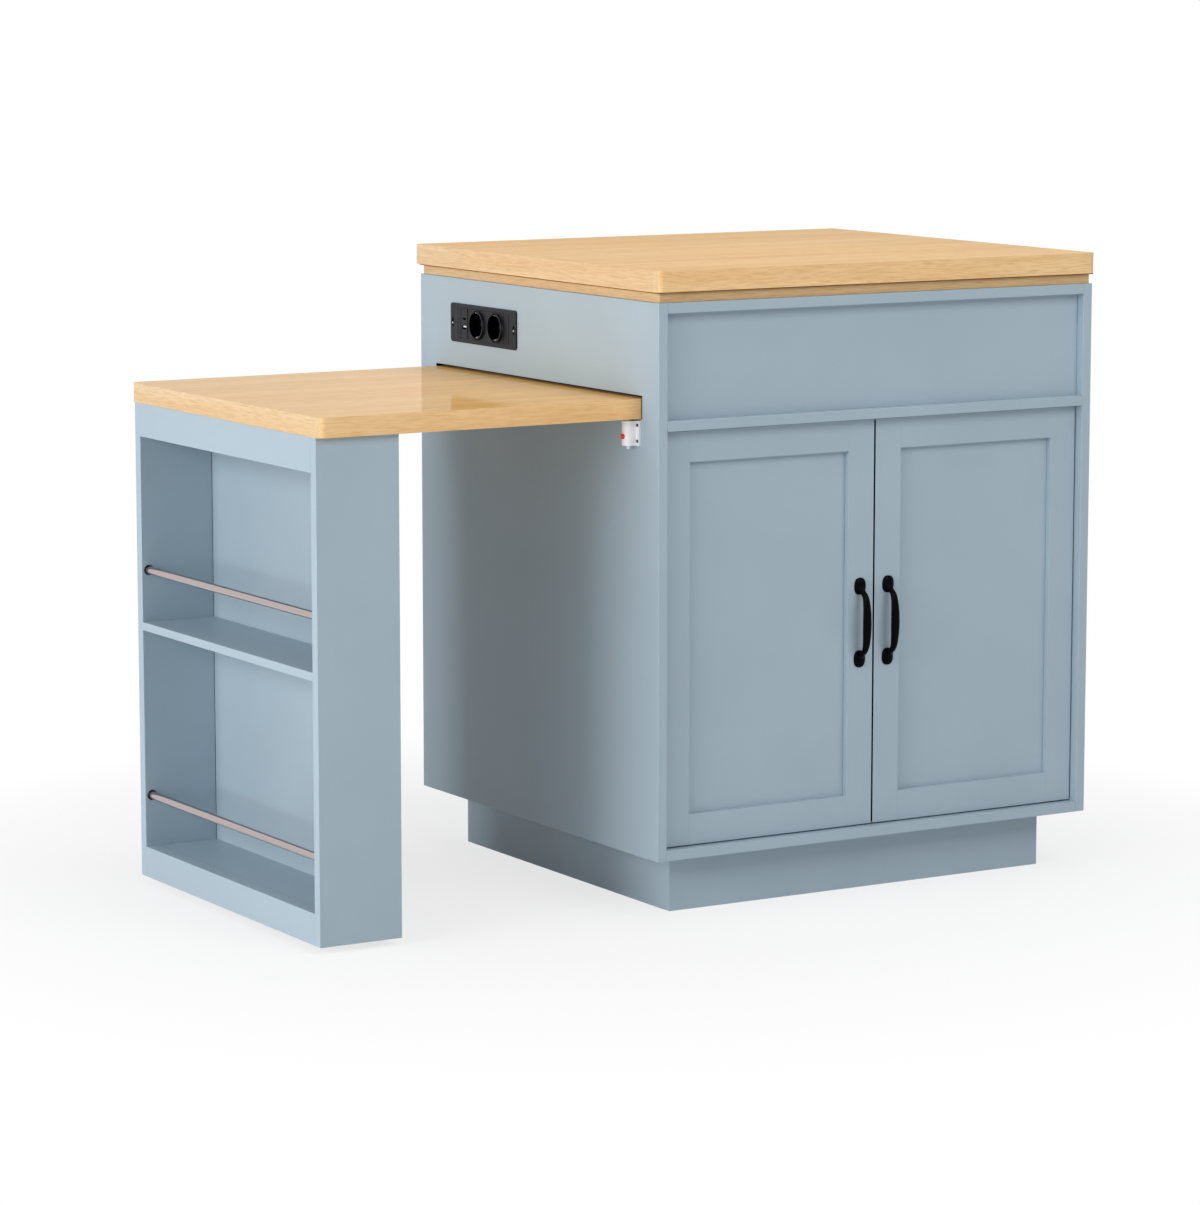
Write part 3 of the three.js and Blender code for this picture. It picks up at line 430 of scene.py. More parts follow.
# Layer: blobs per metre, detail, the noise values where it starts and is full, its share
# when full, and its tone.
OAK_LAYERS = {
    "bands": ((0.9, 19, 19), 2, 0.36, 0.66, 0.8, "gold"),
    "streaks": ((3.5, 110, 110), 3, 0.5, 0.8, 0.32, "deep"),
    "flecks": ((32, 620, 620), 2, 0.44, 0.74, 0.52, "deep"),
    "pores": ((40, 1300, 1300), 1, 0.6, 0.75, 0.25, "deep"),
}


def oak_layers(pattern, grain, depth):
    """Each layer's tone is mixed in by a ramp of its own noise; gives back the colour and
    the noises."""
    colour, noises = linear(OAK_PALE, depth), {}
    for layer, (per_metre, detail, start, full, share, tone) in OAK_LAYERS.items():
        noises[layer] = pattern.noise(per_metre, detail, grain)
        amount = ramped(pattern.tree, noises[layer], start, full, 0.0, share)
        colour = mixed(pattern.tree, "RGBA", amount, colour, linear(OAK_TONES[tone], depth))
    return colour, noises


print("oak layers:", list(OAK_LAYERS))

# %% [markdown]
# The boards are tinted apart. The ends are tinted greyer and cooler: painted light that
# stands in for how the lamps light them. The leaf's top is polished until it mirrors the
# cabinet's side, and its top and underside are tinted warmer: painted light that offsets the
# blue of the mirrored side. The board under the worktop is set deeper in tone. Painting each
# board would do it; here a tint over the layers and a depth for all of them are enough.

# %% Oak
# painted light: tints for the ends, standing in for how the lamps light them
END_LIGHT_TINT = (0.86, 0.97, 1.22, 1.0)
UNDERLAY_END_LIGHT_TINT = (1.05, 1.16, 1.36, 1.0)
# painted light: the leaf's top and underside tinted warmer, offsetting the blue of the mirrored
# cabinet side
LEAF_TOP_LIGHT_TINT = (1.05, 0.95, 0.68, 1.0)
STREAK_SHEEN, PORE_BUMP = 0.04, 0.04


def oak_finish(name, roughness, gloss, depth=1.0, end_light_tint=END_LIGHT_TINT, flat_light_tint=WHITE):
    """The layers, times a tint; depth darkens them all alike. One tint colours the ends and
    another the top and the underside: painted light for how those faces look in their light."""
    material = finish(name, OAK_PALE, roughness, Specular_IOR_Level=gloss)
    pattern = Pattern(material)
    edging, flat = faces_along(pattern, 0), faces_along(pattern, 2)
    colour, noises = oak_layers(pattern, grain_space(pattern, edging), depth)
    face_tint = mixed(pattern.tree, "RGBA", flat, WHITE, flat_light_tint)
    tint = mixed(pattern.tree, "RGBA", edging, face_tint, end_light_tint)
    pattern.drive("Base Color", mixed(pattern.tree, "RGBA", 1.0, colour, tint, "MULTIPLY"))
    pattern.sheen(noises["streaks"], roughness, roughness + STREAK_SHEEN)
    pattern.bump(noises["pores"], PORE_BUMP)
    return material


oak = oak_finish("oak_worktop", 0.55, 0.15)
oak_leaf = oak_finish("oak_leaf", 0.05, 0.005, flat_light_tint=LEAF_TOP_LIGHT_TINT)
# the board under the worktop: its layers darkened by a depth of 0.7
oak_underlay = oak_finish("oak_underlay", 0.55, 0.15, depth=0.7,
                          end_light_tint=UNDERLAY_END_LIGHT_TINT)
print("oak finishes:", [m.name for m in (oak, oak_leaf, oak_underlay)])

# %% [markdown]
# ### Grain and brushing
#
# Metal and plastic need two more kinds of surface: an even fine grain for what is moulded
# or painted, and fine lines for what is drawn or ground. Both vary the sheen as well as the
# height, because a scratch is seen first by the way it shines.

# %% Two more makers
SPECKLE_SHEEN = 0.05  # to either side
LINES_DULLER, LINES_SHINIER, LINES_BUMP = 0.1, 0.08, 0.06


def speckled_finish(name, colour, roughness, grain_per_metre, bump, gloss=0.5):
    """A plain finish with an even fine grain in its surface and in its sheen."""
    material = finish(name, colour, roughness, Specular_IOR_Level=gloss)
    pattern = Pattern(material)
    grain = pattern.noise((grain_per_metre,) * 3, detail=2)
    pattern.sheen(grain, roughness - SPECKLE_SHEEN, roughness + SPECKLE_SHEEN)
    pattern.bump(grain, bump)
    return material


def brushed_finish(name, colour, roughness, lines_per_metre):
    """Metal with fine lines along one axis: noise stretched the other two ways."""
    material = finish(name, colour, roughness, metallic=1.0)
    pattern = Pattern(material)
    lines = pattern.noise(lines_per_metre, detail=3)
    pattern.sheen(lines, roughness - LINES_SHINIER, roughness + LINES_DULLER)
    pattern.bump(lines, LINES_BUMP)
    return material


print("makers: speckled_finish, brushed_finish")

# %% [markdown]
# ### Metal and plastic
#
# The pulls are satin black enamel. The outlet is dark plastic with a fine spark-eroded
# texture. A near-black finish serves for the small USB port's tongue, which is black
# plastic, and as painted shade inside the sockets, in the screw wells and in gaps. The rods
# are brushed along their length, so their noise is stretched along Y; the small fittings
# are ground all over.

# %% Metal and plastic
enamel = speckled_finish("black_enamel", (3, 3, 5), 0.26, 900, 0.05, gloss=0.035)
dark_plastic = speckled_finish("dark_plastic", (22, 24, 30), 0.45, 1500, 0.12, gloss=0.2)
# near-black: the small USB tongue's own plastic, and painted shade in sockets, wells and gaps
black_plastic_and_shade = speckled_finish("black_plastic_and_shade", (2, 2, 3), 0.5, 1500, 0.05, gloss=0.03)
white_plastic = speckled_finish("white_plastic", (236, 236, 239), 0.36, 500, 0.04)
red_plastic = speckled_finish("red_plastic", (226, 38, 26), 0.3, 500, 0.03)
rubber = speckled_finish("wheel_rubber", (52, 53, 55), 0.75, 700, 0.2)
# painted shadow: the brown of the shade under the worktop's overhang
overhang_shadow = speckled_finish("overhang_shadow_line", (138, 96, 54), 0.6, 400, 0.05, gloss=0.2)
# painted shade for the pin holes
hole_shade = finish("hole_shade", (3, 3, 3), 0.9)
rod_steel = brushed_finish("rod_steel", (182, 170, 168), 0.14, (900, 20, 900))
nickel = brushed_finish("nickel", (206, 203, 198), 0.36, (900, 900, 900))
contact_metal = brushed_finish("contact_metal", (214, 208, 198), 0.4, (900, 900, 900))
screw_black = brushed_finish("screw_black", (52, 52, 56), 0.35, (400, 400, 400))
print("materials:", len(bpy.data.materials))

# %% [markdown]
# ## Dressing the boards
#
# Every CAD node names the slot that its finish belongs to, so most nodes find their finish
# in one table. Three boards have one of their own: the polished leaf, the deeper board
# under the worktop, and the shelf unit's back board.

# %% Finishes on the nodes
FINISH_OF_SLOT = {
    "paint": paint, "oak": oak, "black_enamel": enamel, "dark_plastic": dark_plastic,
    "white_plastic": white_plastic, "red_plastic": red_plastic, "rod_steel": rod_steel,
    "nickel": nickel, "wheel_rubber": rubber,
}
# the shelf unit's back board takes the paint that carries painted shade
FINISH_OF_NODE = {"table_leaf": oak_leaf, "worktop_underlay": oak_underlay,
                  "leg_back_panel": paint_with_painted_shade}
slot_of = {s["node"]: s["material_slot"] for s in frame["record"]["subparts"]}
for name, node in nodes.items():
    node.data.materials.clear()
    node.data.materials.append(FINISH_OF_NODE.get(name, FINISH_OF_SLOT[slot_of[name]]))
print("slots used:", sorted(set(slot_of.values())))

# %% [markdown]
# ### Smooth faces, crisp edges
#
# A wheel or a rod comes from CAD as flat strips. Shading them smooth makes them round
# again, but a board shaded smooth looks like a pillow. The way out is a crease: faces are
# smooth, except over edges that turn more than about 32 degrees. A small group of geometry
# nodes does that as a modifier, so the mesh itself stays as it is.

# %% Smooth up to a crease
CREASE = math.radians(32)


def smooth_group():
    """Shades all faces smooth, then all edges whose angle is over the crease sharp."""
    group = bpy.data.node_groups.new("smooth_to_crease", "GeometryNodeTree")
    for way in ("INPUT", "OUTPUT"):
        group.interface.new_socket("Geometry", in_out=way, socket_type="NodeSocketGeometry")
    source = add_node(group, "NodeGroupInput", {})
    faces = add_node(group, "GeometryNodeSetShadeSmooth", {"Geometry": source.outputs[0]})
    angle = add_node(group, "GeometryNodeInputMeshEdgeAngle", {}).outputs["Unsigned Angle"]
    sharp = add_node(group, "FunctionNodeCompare", {0: angle, 1: CREASE}, "GREATER_THAN")
    edges = add_node(group, "GeometryNodeSetShadeSmooth", {
        "Geometry": faces.outputs[0], "Selection": sharp.outputs[0], "Shade Smooth": False})
    edges.domain = "EDGE"
    add_node(group, "NodeGroupOutput", {0: edges.outputs[0]})
    return group


SMOOTH = smooth_group()
print("smooth group nodes:", len(SMOOTH.nodes))

# %% [markdown]
# ### Eased edges
#
# A real board is never sharp: paint and sandpaper leave its edges rounded by half a
# millimetre or more, and that thin round catches the light. The model comes as loose
# triangles, so a Weld modifier joins them first, and a Bevel modifier rounds the edges at
# the end. Cutting the rounds into the mesh would look the same, but could not be undone.

# %% Eased edges
EASE_MM = {"paint": 0.8, "oak": 2.0, "dark_plastic": 0.4, "white_plastic": 0.5,
           "nickel": 0.3}
FINER_EASE_MM = {"worktop_underlay": 0.6, "outlet_sockets": 0.3, "outlet_usb": 0.25}
DOOR_EASE_MM = 0.35
WELD_METRES = 1e-5
EASE_STEPS = 3  # faces across a rounded edge


def ease_mm(name):
    """The width of a node's eased edge: by node where one is given, else by slot."""
    if name.startswith("door_") and slot_of[name] == "paint":
        return DOOR_EASE_MM
    return FINER_EASE_MM.get(name, EASE_MM.get(slot_of[name], 0))


def ease(node, width_mm):
    """Weld, smooth up to the crease, then a round on every edge that is sharper."""
    node.modifiers.new("weld", "WELD").merge_threshold = WELD_METRES
    node.modifiers.new("smooth", "NODES").node_group = SMOOTH
    if not width_mm:
        return
    bevel = node.modifiers.new("ease", "BEVEL")
    bevel.width = width_mm / 1000
    bevel.segments = EASE_STEPS
    bevel.limit_method = "ANGLE"
    bevel.angle_limit = CREASE
    bevel.use_clamp_overlap = True
    bevel.harden_normals = True


for name, node in nodes.items():
    ease(node, ease_mm(name))
print("eased:", sum("ease" in node.modifiers for node in nodes.values()), "nodes")

# %% [markdown]
# ## Shapes from arrays
#
# The pieces that follow are surfaces worked out with numpy. Each one is a grid of points:
# rows along the piece, columns round it. Every row closes on itself, and the first and last
# rows shrink to a point or meet each other, so the surface is closed. Modelling by hand
# would do as well for one screw, but not for twenty-four that must all be alike. This
# function turns such grids into a mesh.

# %% Grids to a mesh
MERGE_METRES = 1e-7


def grid_mesh(name, grids, crease):
    """A mesh from closed grids of points (rows, columns, 3) in cabinet millimetres.
    Neighbouring points are joined by quads; points that coincide are merged."""
    corners, quads, count = [], [], 0
    for grid in grids:
        rows, columns = grid.shape[:2]
        index = np.arange(rows * columns).reshape(rows, columns) + count
        index = np.hstack([index, index[:, :1]])
        quads.append(np.stack([index[:-1, :-1], index[1:, :-1],
                               index[1:, 1:], index[:-1, 1:]], -1).reshape(-1, 4))
        corners.append(grid.reshape(-1, 3))
        count += rows * columns
    mesh = bpy.data.meshes.new(name)
    mesh.from_pydata(place(np.vstack(corners)).tolist(), [], np.vstack(quads).tolist())
    shape = bmesh.new()
    shape.from_mesh(mesh)
    bmesh.ops.remove_doubles(shape, verts=shape.verts, dist=MERGE_METRES)
    bmesh.ops.recalc_face_normals(shape, faces=shape.faces)
    shape.to_mesh(mesh)
    shape.free()
    mesh.polygons.foreach_set("use_smooth", np.ones(len(mesh.polygons), bool))
    mesh.set_sharp_from_angle(angle=math.radians(crease))
    return mesh


print("points closer than", round(MERGE_METRES * 1e6, 3), "micrometres are merged")

# %% [markdown]
# A mesh is not yet a piece of the model. It needs a finish, the body that it rides on when
# a joint moves, and, where it stands in for a CAD node, that node hidden. One function sees
# to all three, so none can be forgotten.

# %% A mesh to a piece
def build(name, grids, material, body, replaces=(), crease=35):
    """One finished piece. Edges that turn more than crease, in degrees, stay sharp."""
    mesh = grid_mesh(name, grids, crease)
    mesh.materials.append(material)
    piece = bpy.data.objects.new(name, mesh)
    scene.collection.objects.link(piece)
    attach(piece, body)
    if replaces:
        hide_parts(*replaces)
    print(f"{name}: {len(mesh.polygons)} faces")


# %% [markdown]
# ### Turned shapes
#
# Rods, rings, tyres, pins and the pulls' feet are all round. A lathe makes them from half
# an outline. Blender's Screw modifier would do it too; worked out here, the circle can
# also be made oval, or squarer, which the pulls' feet need.

# %% A lathe
AXES = {"X": ((0, 1, 0), (0, 0, 1), (1, 0, 0)), "Y": ((0, 0, 1), (1, 0, 0), (0, 1, 0)),
        "Z": ((1, 0, 0), (0, 1, 0), (0, 0, 1))}  # two directions across, one along


def turned(profile, centre, axis, sides=40, stretch=(1, 1), square=2.0):
    """A lathe: each (radius, height) of the profile becomes a circle round the axis,
    centre + radius * (cos a, sin a) + height along the axis. stretch makes it oval, and
    dividing by (|cos a|^n + |sin a|^n)^(1/n) with n above 2 makes it squarer."""
    one, two, along = (np.array(v, float) for v in AXES[axis])
    radius, height = np.array(profile, float).T[:, :, None, None]
    turn = np.linspace(0, 2 * np.pi, sides, endpoint=False)[None, :, None]
    swell = (np.abs(np.cos(turn)) ** square + np.abs(np.sin(turn)) ** square) ** (-1 / square)
    ring = swell * (stretch[0] * np.cos(turn) * one + stretch[1] * np.sin(turn) * two)
    return np.array(centre, float) + radius * ring + height * along


print("a lathe's grid:", turned([(0, 0), (1, 0), (0, 1)], (0, 0, 0), "Z").shape)

# %% [markdown]
# ### Blocks with round edges
#
# Thin trim, such as a seal or a glue line, is a straight bar whose edges are a little
# round. A cube with a Bevel modifier would serve. As a surface it is simpler still: a ball,
# pulled apart along the three axes.

# %% A rounded block
def rounded_block(low, high, radius, steps=4):
    """A ball of the given radius, pulled apart by the block's own lengths: each point of
    the ball moves out to the corner of the inner block whose signs it has."""
    low, high = np.array(low, float), np.array(high, float)
    quarter = np.linspace(0, np.pi / 2, steps)
    turn = np.concatenate([quarter + k * np.pi / 2 for k in range(4)])
    sign_x = np.repeat([1, -1, -1, 1], steps)
    sign_y = np.repeat([1, 1, -1, -1], steps)
    lift = np.concatenate([quarter - np.pi / 2, quarter])
    sign_z = np.repeat([-1, 1], steps)
    flat, rise = np.cos(lift)[:, None], np.sin(lift)[:, None]
    ball = np.stack([flat * np.cos(turn), flat * np.sin(turn),
                     rise * np.ones_like(turn)], -1)
    signs = np.stack(np.broadcast_arrays(sign_x, sign_y, sign_z[:, None]), -1)
    body = (low + high) / 2 + signs * ((high - low) / 2 - radius) + radius * ball
    ends = [np.broadcast_to(body[k].mean(0), body[k].shape)[None] for k in (0, -1)]
    return np.concatenate([ends[0], body, ends[1]])


print("a block's grid:", rounded_block((0, 0, 0), (9, 9, 9), radius=1).shape)

# %% [markdown]
# ### Swept ovals
#
# A bent bar is an oval carried along a path. Blender can bevel a curve with a round
# section, but the bow of a pull changes its width on the way, so here both half widths may
# vary from row to row.

# %% A swept oval
def tube(path, half_across, half_through, across, sides=24):
    """An oval swept along a path. Across is the oval's wide direction; its thin direction
    is at right angles to across and to the path. Both half widths may vary by row."""
    path = np.asarray(path, float)
    tangent = np.gradient(path, axis=0)
    tangent /= np.linalg.norm(tangent, axis=1, keepdims=True)
    across = np.array(across, float)
    through = np.cross(tangent, across)
    turn = np.linspace(0, 2 * np.pi, sides, endpoint=False)[None, :, None]
    wide = np.broadcast_to(half_across, len(path))[:, None, None]
    thin = np.broadcast_to(half_through, len(path))[:, None, None]
    body = path[:, None] + wide * np.cos(turn) * across + thin * np.sin(turn) * through[:, None]
    ends = [np.broadcast_to(path[k], body[k].shape)[None] for k in (0, -1)]
    return np.concatenate([ends[0], body, ends[1]])


def smooth_curve(points, steps):
    """A Catmull-Rom curve: between two points the curve leaves and arrives parallel to the
    line that joins the neighbours on either side."""
    points = np.asarray(points, float)
    padded = np.vstack([2 * points[0] - points[1], points, 2 * points[-1] - points[-2]])
    t = np.linspace(0, 1, steps, endpoint=False)[None, :, None]
    a, b, c, d = (padded[k:len(points) - 1 + k, None] for k in range(4))
    curve = 0.5 * (2 * b + (c - a) * t + (2 * a - 5 * b + 4 * c - d) * t ** 2
                   + (3 * b - a - 3 * c + d) * t ** 3)
    return np.vstack([curve.reshape(-1, points.shape[1]), points[-1:]])


print("a smooth curve's points:", smooth_curve([(0, 0), (1, 1), (2, 0)], 8).shape)

# %% [markdown]
# ## Pulls
#
# Each door has a cast bow pull: two domed oval feet, and a bow that rises from them in a
# gooseneck and is widest in the middle. A bent round bar would look too thin. Here an oval
# is swept along a smooth curve through a few given points. Its width swells like a cosine
# from the necks to the middle, and flares where the bow melts into the feet.

# %% Pulls
DOOR_FACE = 14.5
PULL_X = {"left": 350.5, "right": 399.5}
PULL_MIDDLE = 399.0
PULL_HALF = 53.0  # from the middle to a foot
PULL_REACH = 21.0
# Half the bow, foot to middle: how far out (of the reach), how far from the middle.
BOW = np.array([(-0.1, 0.98), (0.12, 0.95), (0.36, 0.87), (0.66, 0.77), (0.84, 0.62),
                (0.94, 0.34), (0.97, 0.0)])
ROOT_START, ROOT_LENGTH = 0.84, 0.14  # the flare, on the same scale
# Half widths: at the neck, added in the middle, added where the bow meets its foot.
BOW_WIDE, BOW_THIN = (3.7, 3.5, 2.4), (3.1, 0.4, 1.2)
FOOT_DOME = [(0, 0.0), (9.6, 0.0), (9.6, -1.2), (9.3, -2.0), (8.6, -2.8), (7.2, -3.7),
             (5.2, -4.5), (2.6, -4.9), (0, -5.0)]
FOOT_STRETCH, FOOT_SQUARE = 12.4 / 9.6, 2.5
CLEAR_OF_DOOR = 0.2


def bow(x):
    """Half width = neck + middle cos(pi/2 height) + foot times the flare, both ways. What
    would reach into the door is held just before its face."""
    half = smooth_curve(BOW, steps=8)
    out = np.concatenate([half[:, 0], half[-2::-1, 0]])
    up = np.concatenate([-half[:, 1], half[-2::-1, 1]])
    path = np.stack([np.full_like(out, x), DOOR_FACE - PULL_REACH * out,
                     PULL_MIDDLE + PULL_HALF * up], -1)
    swell = np.cos(np.pi / 2 * np.clip(up, -1, 1))
    root = np.clip(np.abs(up) - ROOT_START, 0, ROOT_LENGTH) / ROOT_LENGTH
    wide, thin = (neck + middle * swell + foot * root
                  for neck, middle, foot in (BOW_WIDE, BOW_THIN))
    grid = tube(path, wide, thin, (1, 0, 0), sides=28)
    grid[..., 1] = np.minimum(grid[..., 1], DOOR_FACE - CLEAR_OF_DOOR)
    return grid


for side, x in PULL_X.items():
    feet = [turned(FOOT_DOME, (x, DOOR_FACE, PULL_MIDDLE + end * PULL_HALF), "Y",
                   stretch=(FOOT_STRETCH, 1), square=FOOT_SQUARE) for end in (-1, 1)]
    build(f"pull_{side}", [bow(x), *feet], enamel, f"door_{side}",
          replaces=[f"door_{side}_handle"], crease=50)

# %% [markdown]
# ## Rods
#
# Two brushed rods keep jars on the open shelves. Their ends disappear into dark rings let
# into the side boards. Both are turned; a plain cylinder would lack the small chamfer that
# catches the light.

# %% Rods and their rings
ROD_X = -496.0
ROD_Z = {"lower": 131.0, "upper": 465.0}
ROD_FRONT, ROD_BACK = 66.4, 617.6
ROD_LENGTH = ROD_BACK - ROD_FRONT
ROD_PROFILE = [(0, 0), (5.4, 0), (6, 0.6), (6, ROD_LENGTH - 0.6), (5.4, ROD_LENGTH),
               (0, ROD_LENGTH)]
RING_PROFILE = np.array([(6.25, 0), (7.6, 0), (7.6, 0.9), (7.2, 1.4), (6.6, 1.4),
                         (6.25, 1.1), (6.25, 0)])
BAY = {72.0: 1, 612.0: -1}  # inner face of each side board, and the way into the bay

for row, z in ROD_Z.items():
    build(f"rod_{row}", [turned(ROD_PROFILE, (ROD_X, ROD_FRONT, z), "Y", sides=48)],
          rod_steel, "extension", replaces=[f"leg_rod_{row}"])
    rings = [turned(RING_PROFILE * (1, into), (ROD_X, y, z), "Y") for y, into in BAY.items()]
    build(f"rod_rings_{row}", rings, screw_black, "extension")

# %% [markdown]
# ## Wheels
#
# Under the unit two small wheels carry it. The tyre has rounded shoulders, and a plain hub
# sits a little inside it. The hub is a piece of its own, because it is plastic and the tyre
# is rubber; both ride on the wheel's body and turn with it.

# %% Wheels
WHEEL_X, WHEEL_Z = -441.5, 18.0
WHEEL_Y = {"front": 132.0, "back": 552.0}
TYRE_PROFILE = [(3.3, -7.4), (11.5, -7.4), (11.5, -8), (16.2, -8), (17.5, -7.3), (18, -5.6),
                (18, 5.6), (17.5, 7.3), (16.2, 8), (11.5, 8), (11.5, 7.4), (3.3, 7.4),
                (3.3, -7.4)]
HUB_PROFILE = np.array([(3.3, 7.3), (10.8, 7.3), (10.8, 7.6), (9.9, 7.9), (5.2, 7.9),
                        (4.4, 7.7), (3.3, 7.7), (3.3, 7.3)])

for end, y in WHEEL_Y.items():
    axle = (WHEEL_X, y, WHEEL_Z)
    build(f"tyre_{end}", [turned(TYRE_PROFILE, axle, "Y", sides=56)], rubber,
          f"wheel_{end}_body", replaces=[f"wheel_{end}"])
    hubs = [turned(HUB_PROFILE * (1, out), axle, "Y") for out in (-1, 1)]
    build(f"hub_{end}", hubs, white_plastic, f"wheel_{end}_body")

# %% [markdown]
# ## Screws
#
# One screw shape serves everywhere: a pan head with a cross recess. The head is a grid in
# rings and spokes, and its height is a dome minus a pit wherever the point lies inside one
# of the two bars of the cross. Pressing a real recess with a boolean would give the same
# look with many more faces.

# %% A screw head
HEAD_RINGS = np.array([0, .1, .2, .3, .36, .5, .6, .68, .8, .92, 1, 1.0, 0.0])[:, None]
HEAD_SPOKES = 32
HEAD_FALL = 0.35  # how much lower the rim is than the middle, of the height
CROSS_HALF, CROSS_LENGTH, CROSS_DEPTH = 0.156, 0.62, 0.55  # of the radius and the height


def screw_head(centre, axis, out, radius, height):
    """Height = height * (1 - fall (r/R)^3) minus a cross-shaped pit, over rings of points;
    the last two rings drop straight to the seat and close it."""
    one, two, along = (np.array(v, float) for v in AXES[axis])
    turn = np.linspace(0, 2 * np.pi, HEAD_SPOKES, endpoint=False)
    u, v = HEAD_RINGS * np.cos(turn), HEAD_RINGS * np.sin(turn)
    nearer, farther = np.minimum(np.abs(u), np.abs(v)), np.maximum(np.abs(u), np.abs(v))
    in_cross = (nearer < CROSS_HALF) & (farther < CROSS_LENGTH)
    level = height * (1 - HEAD_FALL * HEAD_RINGS ** 3 - CROSS_DEPTH * in_cross)
    level[-2:] = 0
    return (np.array(centre, float) + radius * (u[..., None] * one + v[..., None] * two)
            + out * level[..., None] * along)


def screws(name, places, axis, material, body, out, radius, height):
    """A set of equal screws, as one piece."""
    heads = [screw_head(p, axis, out, radius, height) for p in places]
    build(name, heads, material, body, crease=25)


print("a screw's grid:", screw_head((0, 0, 0), "Z", 1, 1, 1).shape)

# %% [markdown]
# ### Screws of the hinges
#
# Each cup hinge has two screws in its plate, on the side panel, and two beside its cup, in
# the door. The first stay with the cabinet and the second turn with the door, so they are
# separate pieces.

# %% Screws of the hinges
HINGE_Z = (192.0, 603.0)
HINGE_SIDES = {"left": (15.0, 1, 36.5), "right": (735.0, -1, 713.5)}  # wall, way in, cup x
PLATE_THICK, PLATE_SCREW_Y, PLATE_SPREAD = 3, 86, 16
CUP_SCREW_Y, CUP_SPREAD = 33.3, 23.2

for side, (wall, into, cup_x) in HINGE_SIDES.items():
    on_plates = [(wall + PLATE_THICK * into, PLATE_SCREW_Y, z + dz)
                 for z in HINGE_Z for dz in (-PLATE_SPREAD, PLATE_SPREAD)]
    screws(f"hinge_plate_screws_{side}", on_plates, "X", nickel, "cabinet",
           out=into, radius=3.4, height=1.3)
    beside_cups = [(cup_x, CUP_SCREW_Y, z + dz)
                   for z in HINGE_Z for dz in (-CUP_SPREAD, CUP_SPREAD)]
    screws(f"hinge_cup_screws_{side}", beside_cups, "Y", nickel, f"door_{side}",
           out=1, radius=3.2, height=1.0)

# %% [markdown]
# ### Screws of the lock, the outlet and the wheels
#
# The lock is held by two black screws in its flange, the outlet by one at each end of its
# plate, and each wheel's fork by two under the bottom shelf. Only their size, their finish
# and the way they point differ.

# %% Screws of the lock, the outlet and the wheels
LOCK_FLANGE = [(-3, 51.8, z) for z in (678.5, 701)]
OUTLET_SCREW_Y = (400.5, 583.5)
OUTLET_PLATE = [(-2.55, y, 808) for y in OUTLET_SCREW_Y]  # 1 mm under their wells' middle
FORK_PLATE = [(WHEEL_X + dx, y, 37) for y in WHEEL_Y.values() for dx in (-17, 17)]

screws("lock_screws", LOCK_FLANGE, "X", screw_black, "cabinet",
       out=-1, radius=2.4, height=1.0)
screws("outlet_screws", OUTLET_PLATE, "X", nickel, "cabinet",
       out=-1, radius=1.6, height=0.5)
screws("fork_screws", FORK_PLATE, "Z", nickel, "extension",
       out=-1, radius=2.8, height=1.2)

# %% [markdown]
# ## Outlet
#
# Behind the plate sits a row of snap-in modules: a blank, the USB strip, and two earthed
# sockets, each with an eight-sided surround. The CAD model has the plate, the recesses and
# the strip. The surrounds could be an octagon with a hole cut in it; as a sweep, their
# outer outline simply shrinks to the round recess.

# %% Socket surrounds
OUTLET_Z = 809.0
SOCKET_Y = (452.0, 507.0)
PLATE_FACE = -2.5
FLAT_HALF, CORNER_CUT, RECESS_RADIUS = 22.0, 27.4, 21.6
# Each row: its share of the outline (0 is the recess), and how far it stands proud.
SURROUND_ROWS = [(0, 0.8), (1.0, 0.8), (1.0, 2.1), (0.975, 2.5), (0, 2.5), (0, 0.8)]


def octagon_surround(y):
    """An eight-sided frame round a socket. Its outline is the smaller of a square's
    half / max(|cos|, |sin|) and a diamond's cut / (|cos| + |sin|)."""
    turn = np.linspace(0, 2 * np.pi, 64, endpoint=False)
    across, up = np.abs(np.cos(turn)), np.abs(np.sin(turn))
    outline = np.minimum(FLAT_HALF / np.maximum(across, up), CORNER_CUT / (across + up))
    share, proud = np.array(SURROUND_ROWS).T[:, :, None]
    radius = np.maximum(share * outline, RECESS_RADIUS)
    return np.stack(np.broadcast_arrays(
        PLATE_FACE - proud, y + radius * np.cos(turn), OUTLET_Z + radius * np.sin(turn)), -1)


build("socket_surrounds", [octagon_surround(y) for y in SOCKET_Y], dark_plastic, "cabinet")

# %% [markdown]
# ### Blanks and screw wells
#
# Where no module sits, narrow blank strips fill the row. The plate's two screws lie in oval
# wells, so that the plate can be turned a little until it is level. Each well is a thin
# near-black oval laid on the plate: painted shade for the hollow.

# %% Blanks and screw wells
BLANK_Y = ((558.2, 565.6), (566.4, 573.8), (415.2, 421.6), (422.4, 428.8))
BLANK_HALF, BLANK_PROUD, BLANK_DEEP = 22.3, 0.45, 1
WELL_SHADE_PROFILE = [(0, -0.08), (2.9, -0.08), (3.2, -0.3), (3.5, -0.3), (3.8, 0), (0, 0)]
WELL_STRETCH = (0.8, 1.9)

blanks = [rounded_block((PLATE_FACE - BLANK_PROUD, y0, OUTLET_Z - BLANK_HALF),
                        (PLATE_FACE + BLANK_DEEP, y1, OUTLET_Z + BLANK_HALF), radius=0.3)
          for y0, y1 in BLANK_Y]
build("outlet_blanks", blanks, dark_plastic, "cabinet")
well_shades = [turned(WELL_SHADE_PROFILE, (PLATE_FACE, y, OUTLET_Z), "X", sides=32, stretch=WELL_STRETCH)
         for y in OUTLET_SCREW_Y]
build("outlet_screw_well_shades", well_shades, black_plastic_and_shade, "cabinet")

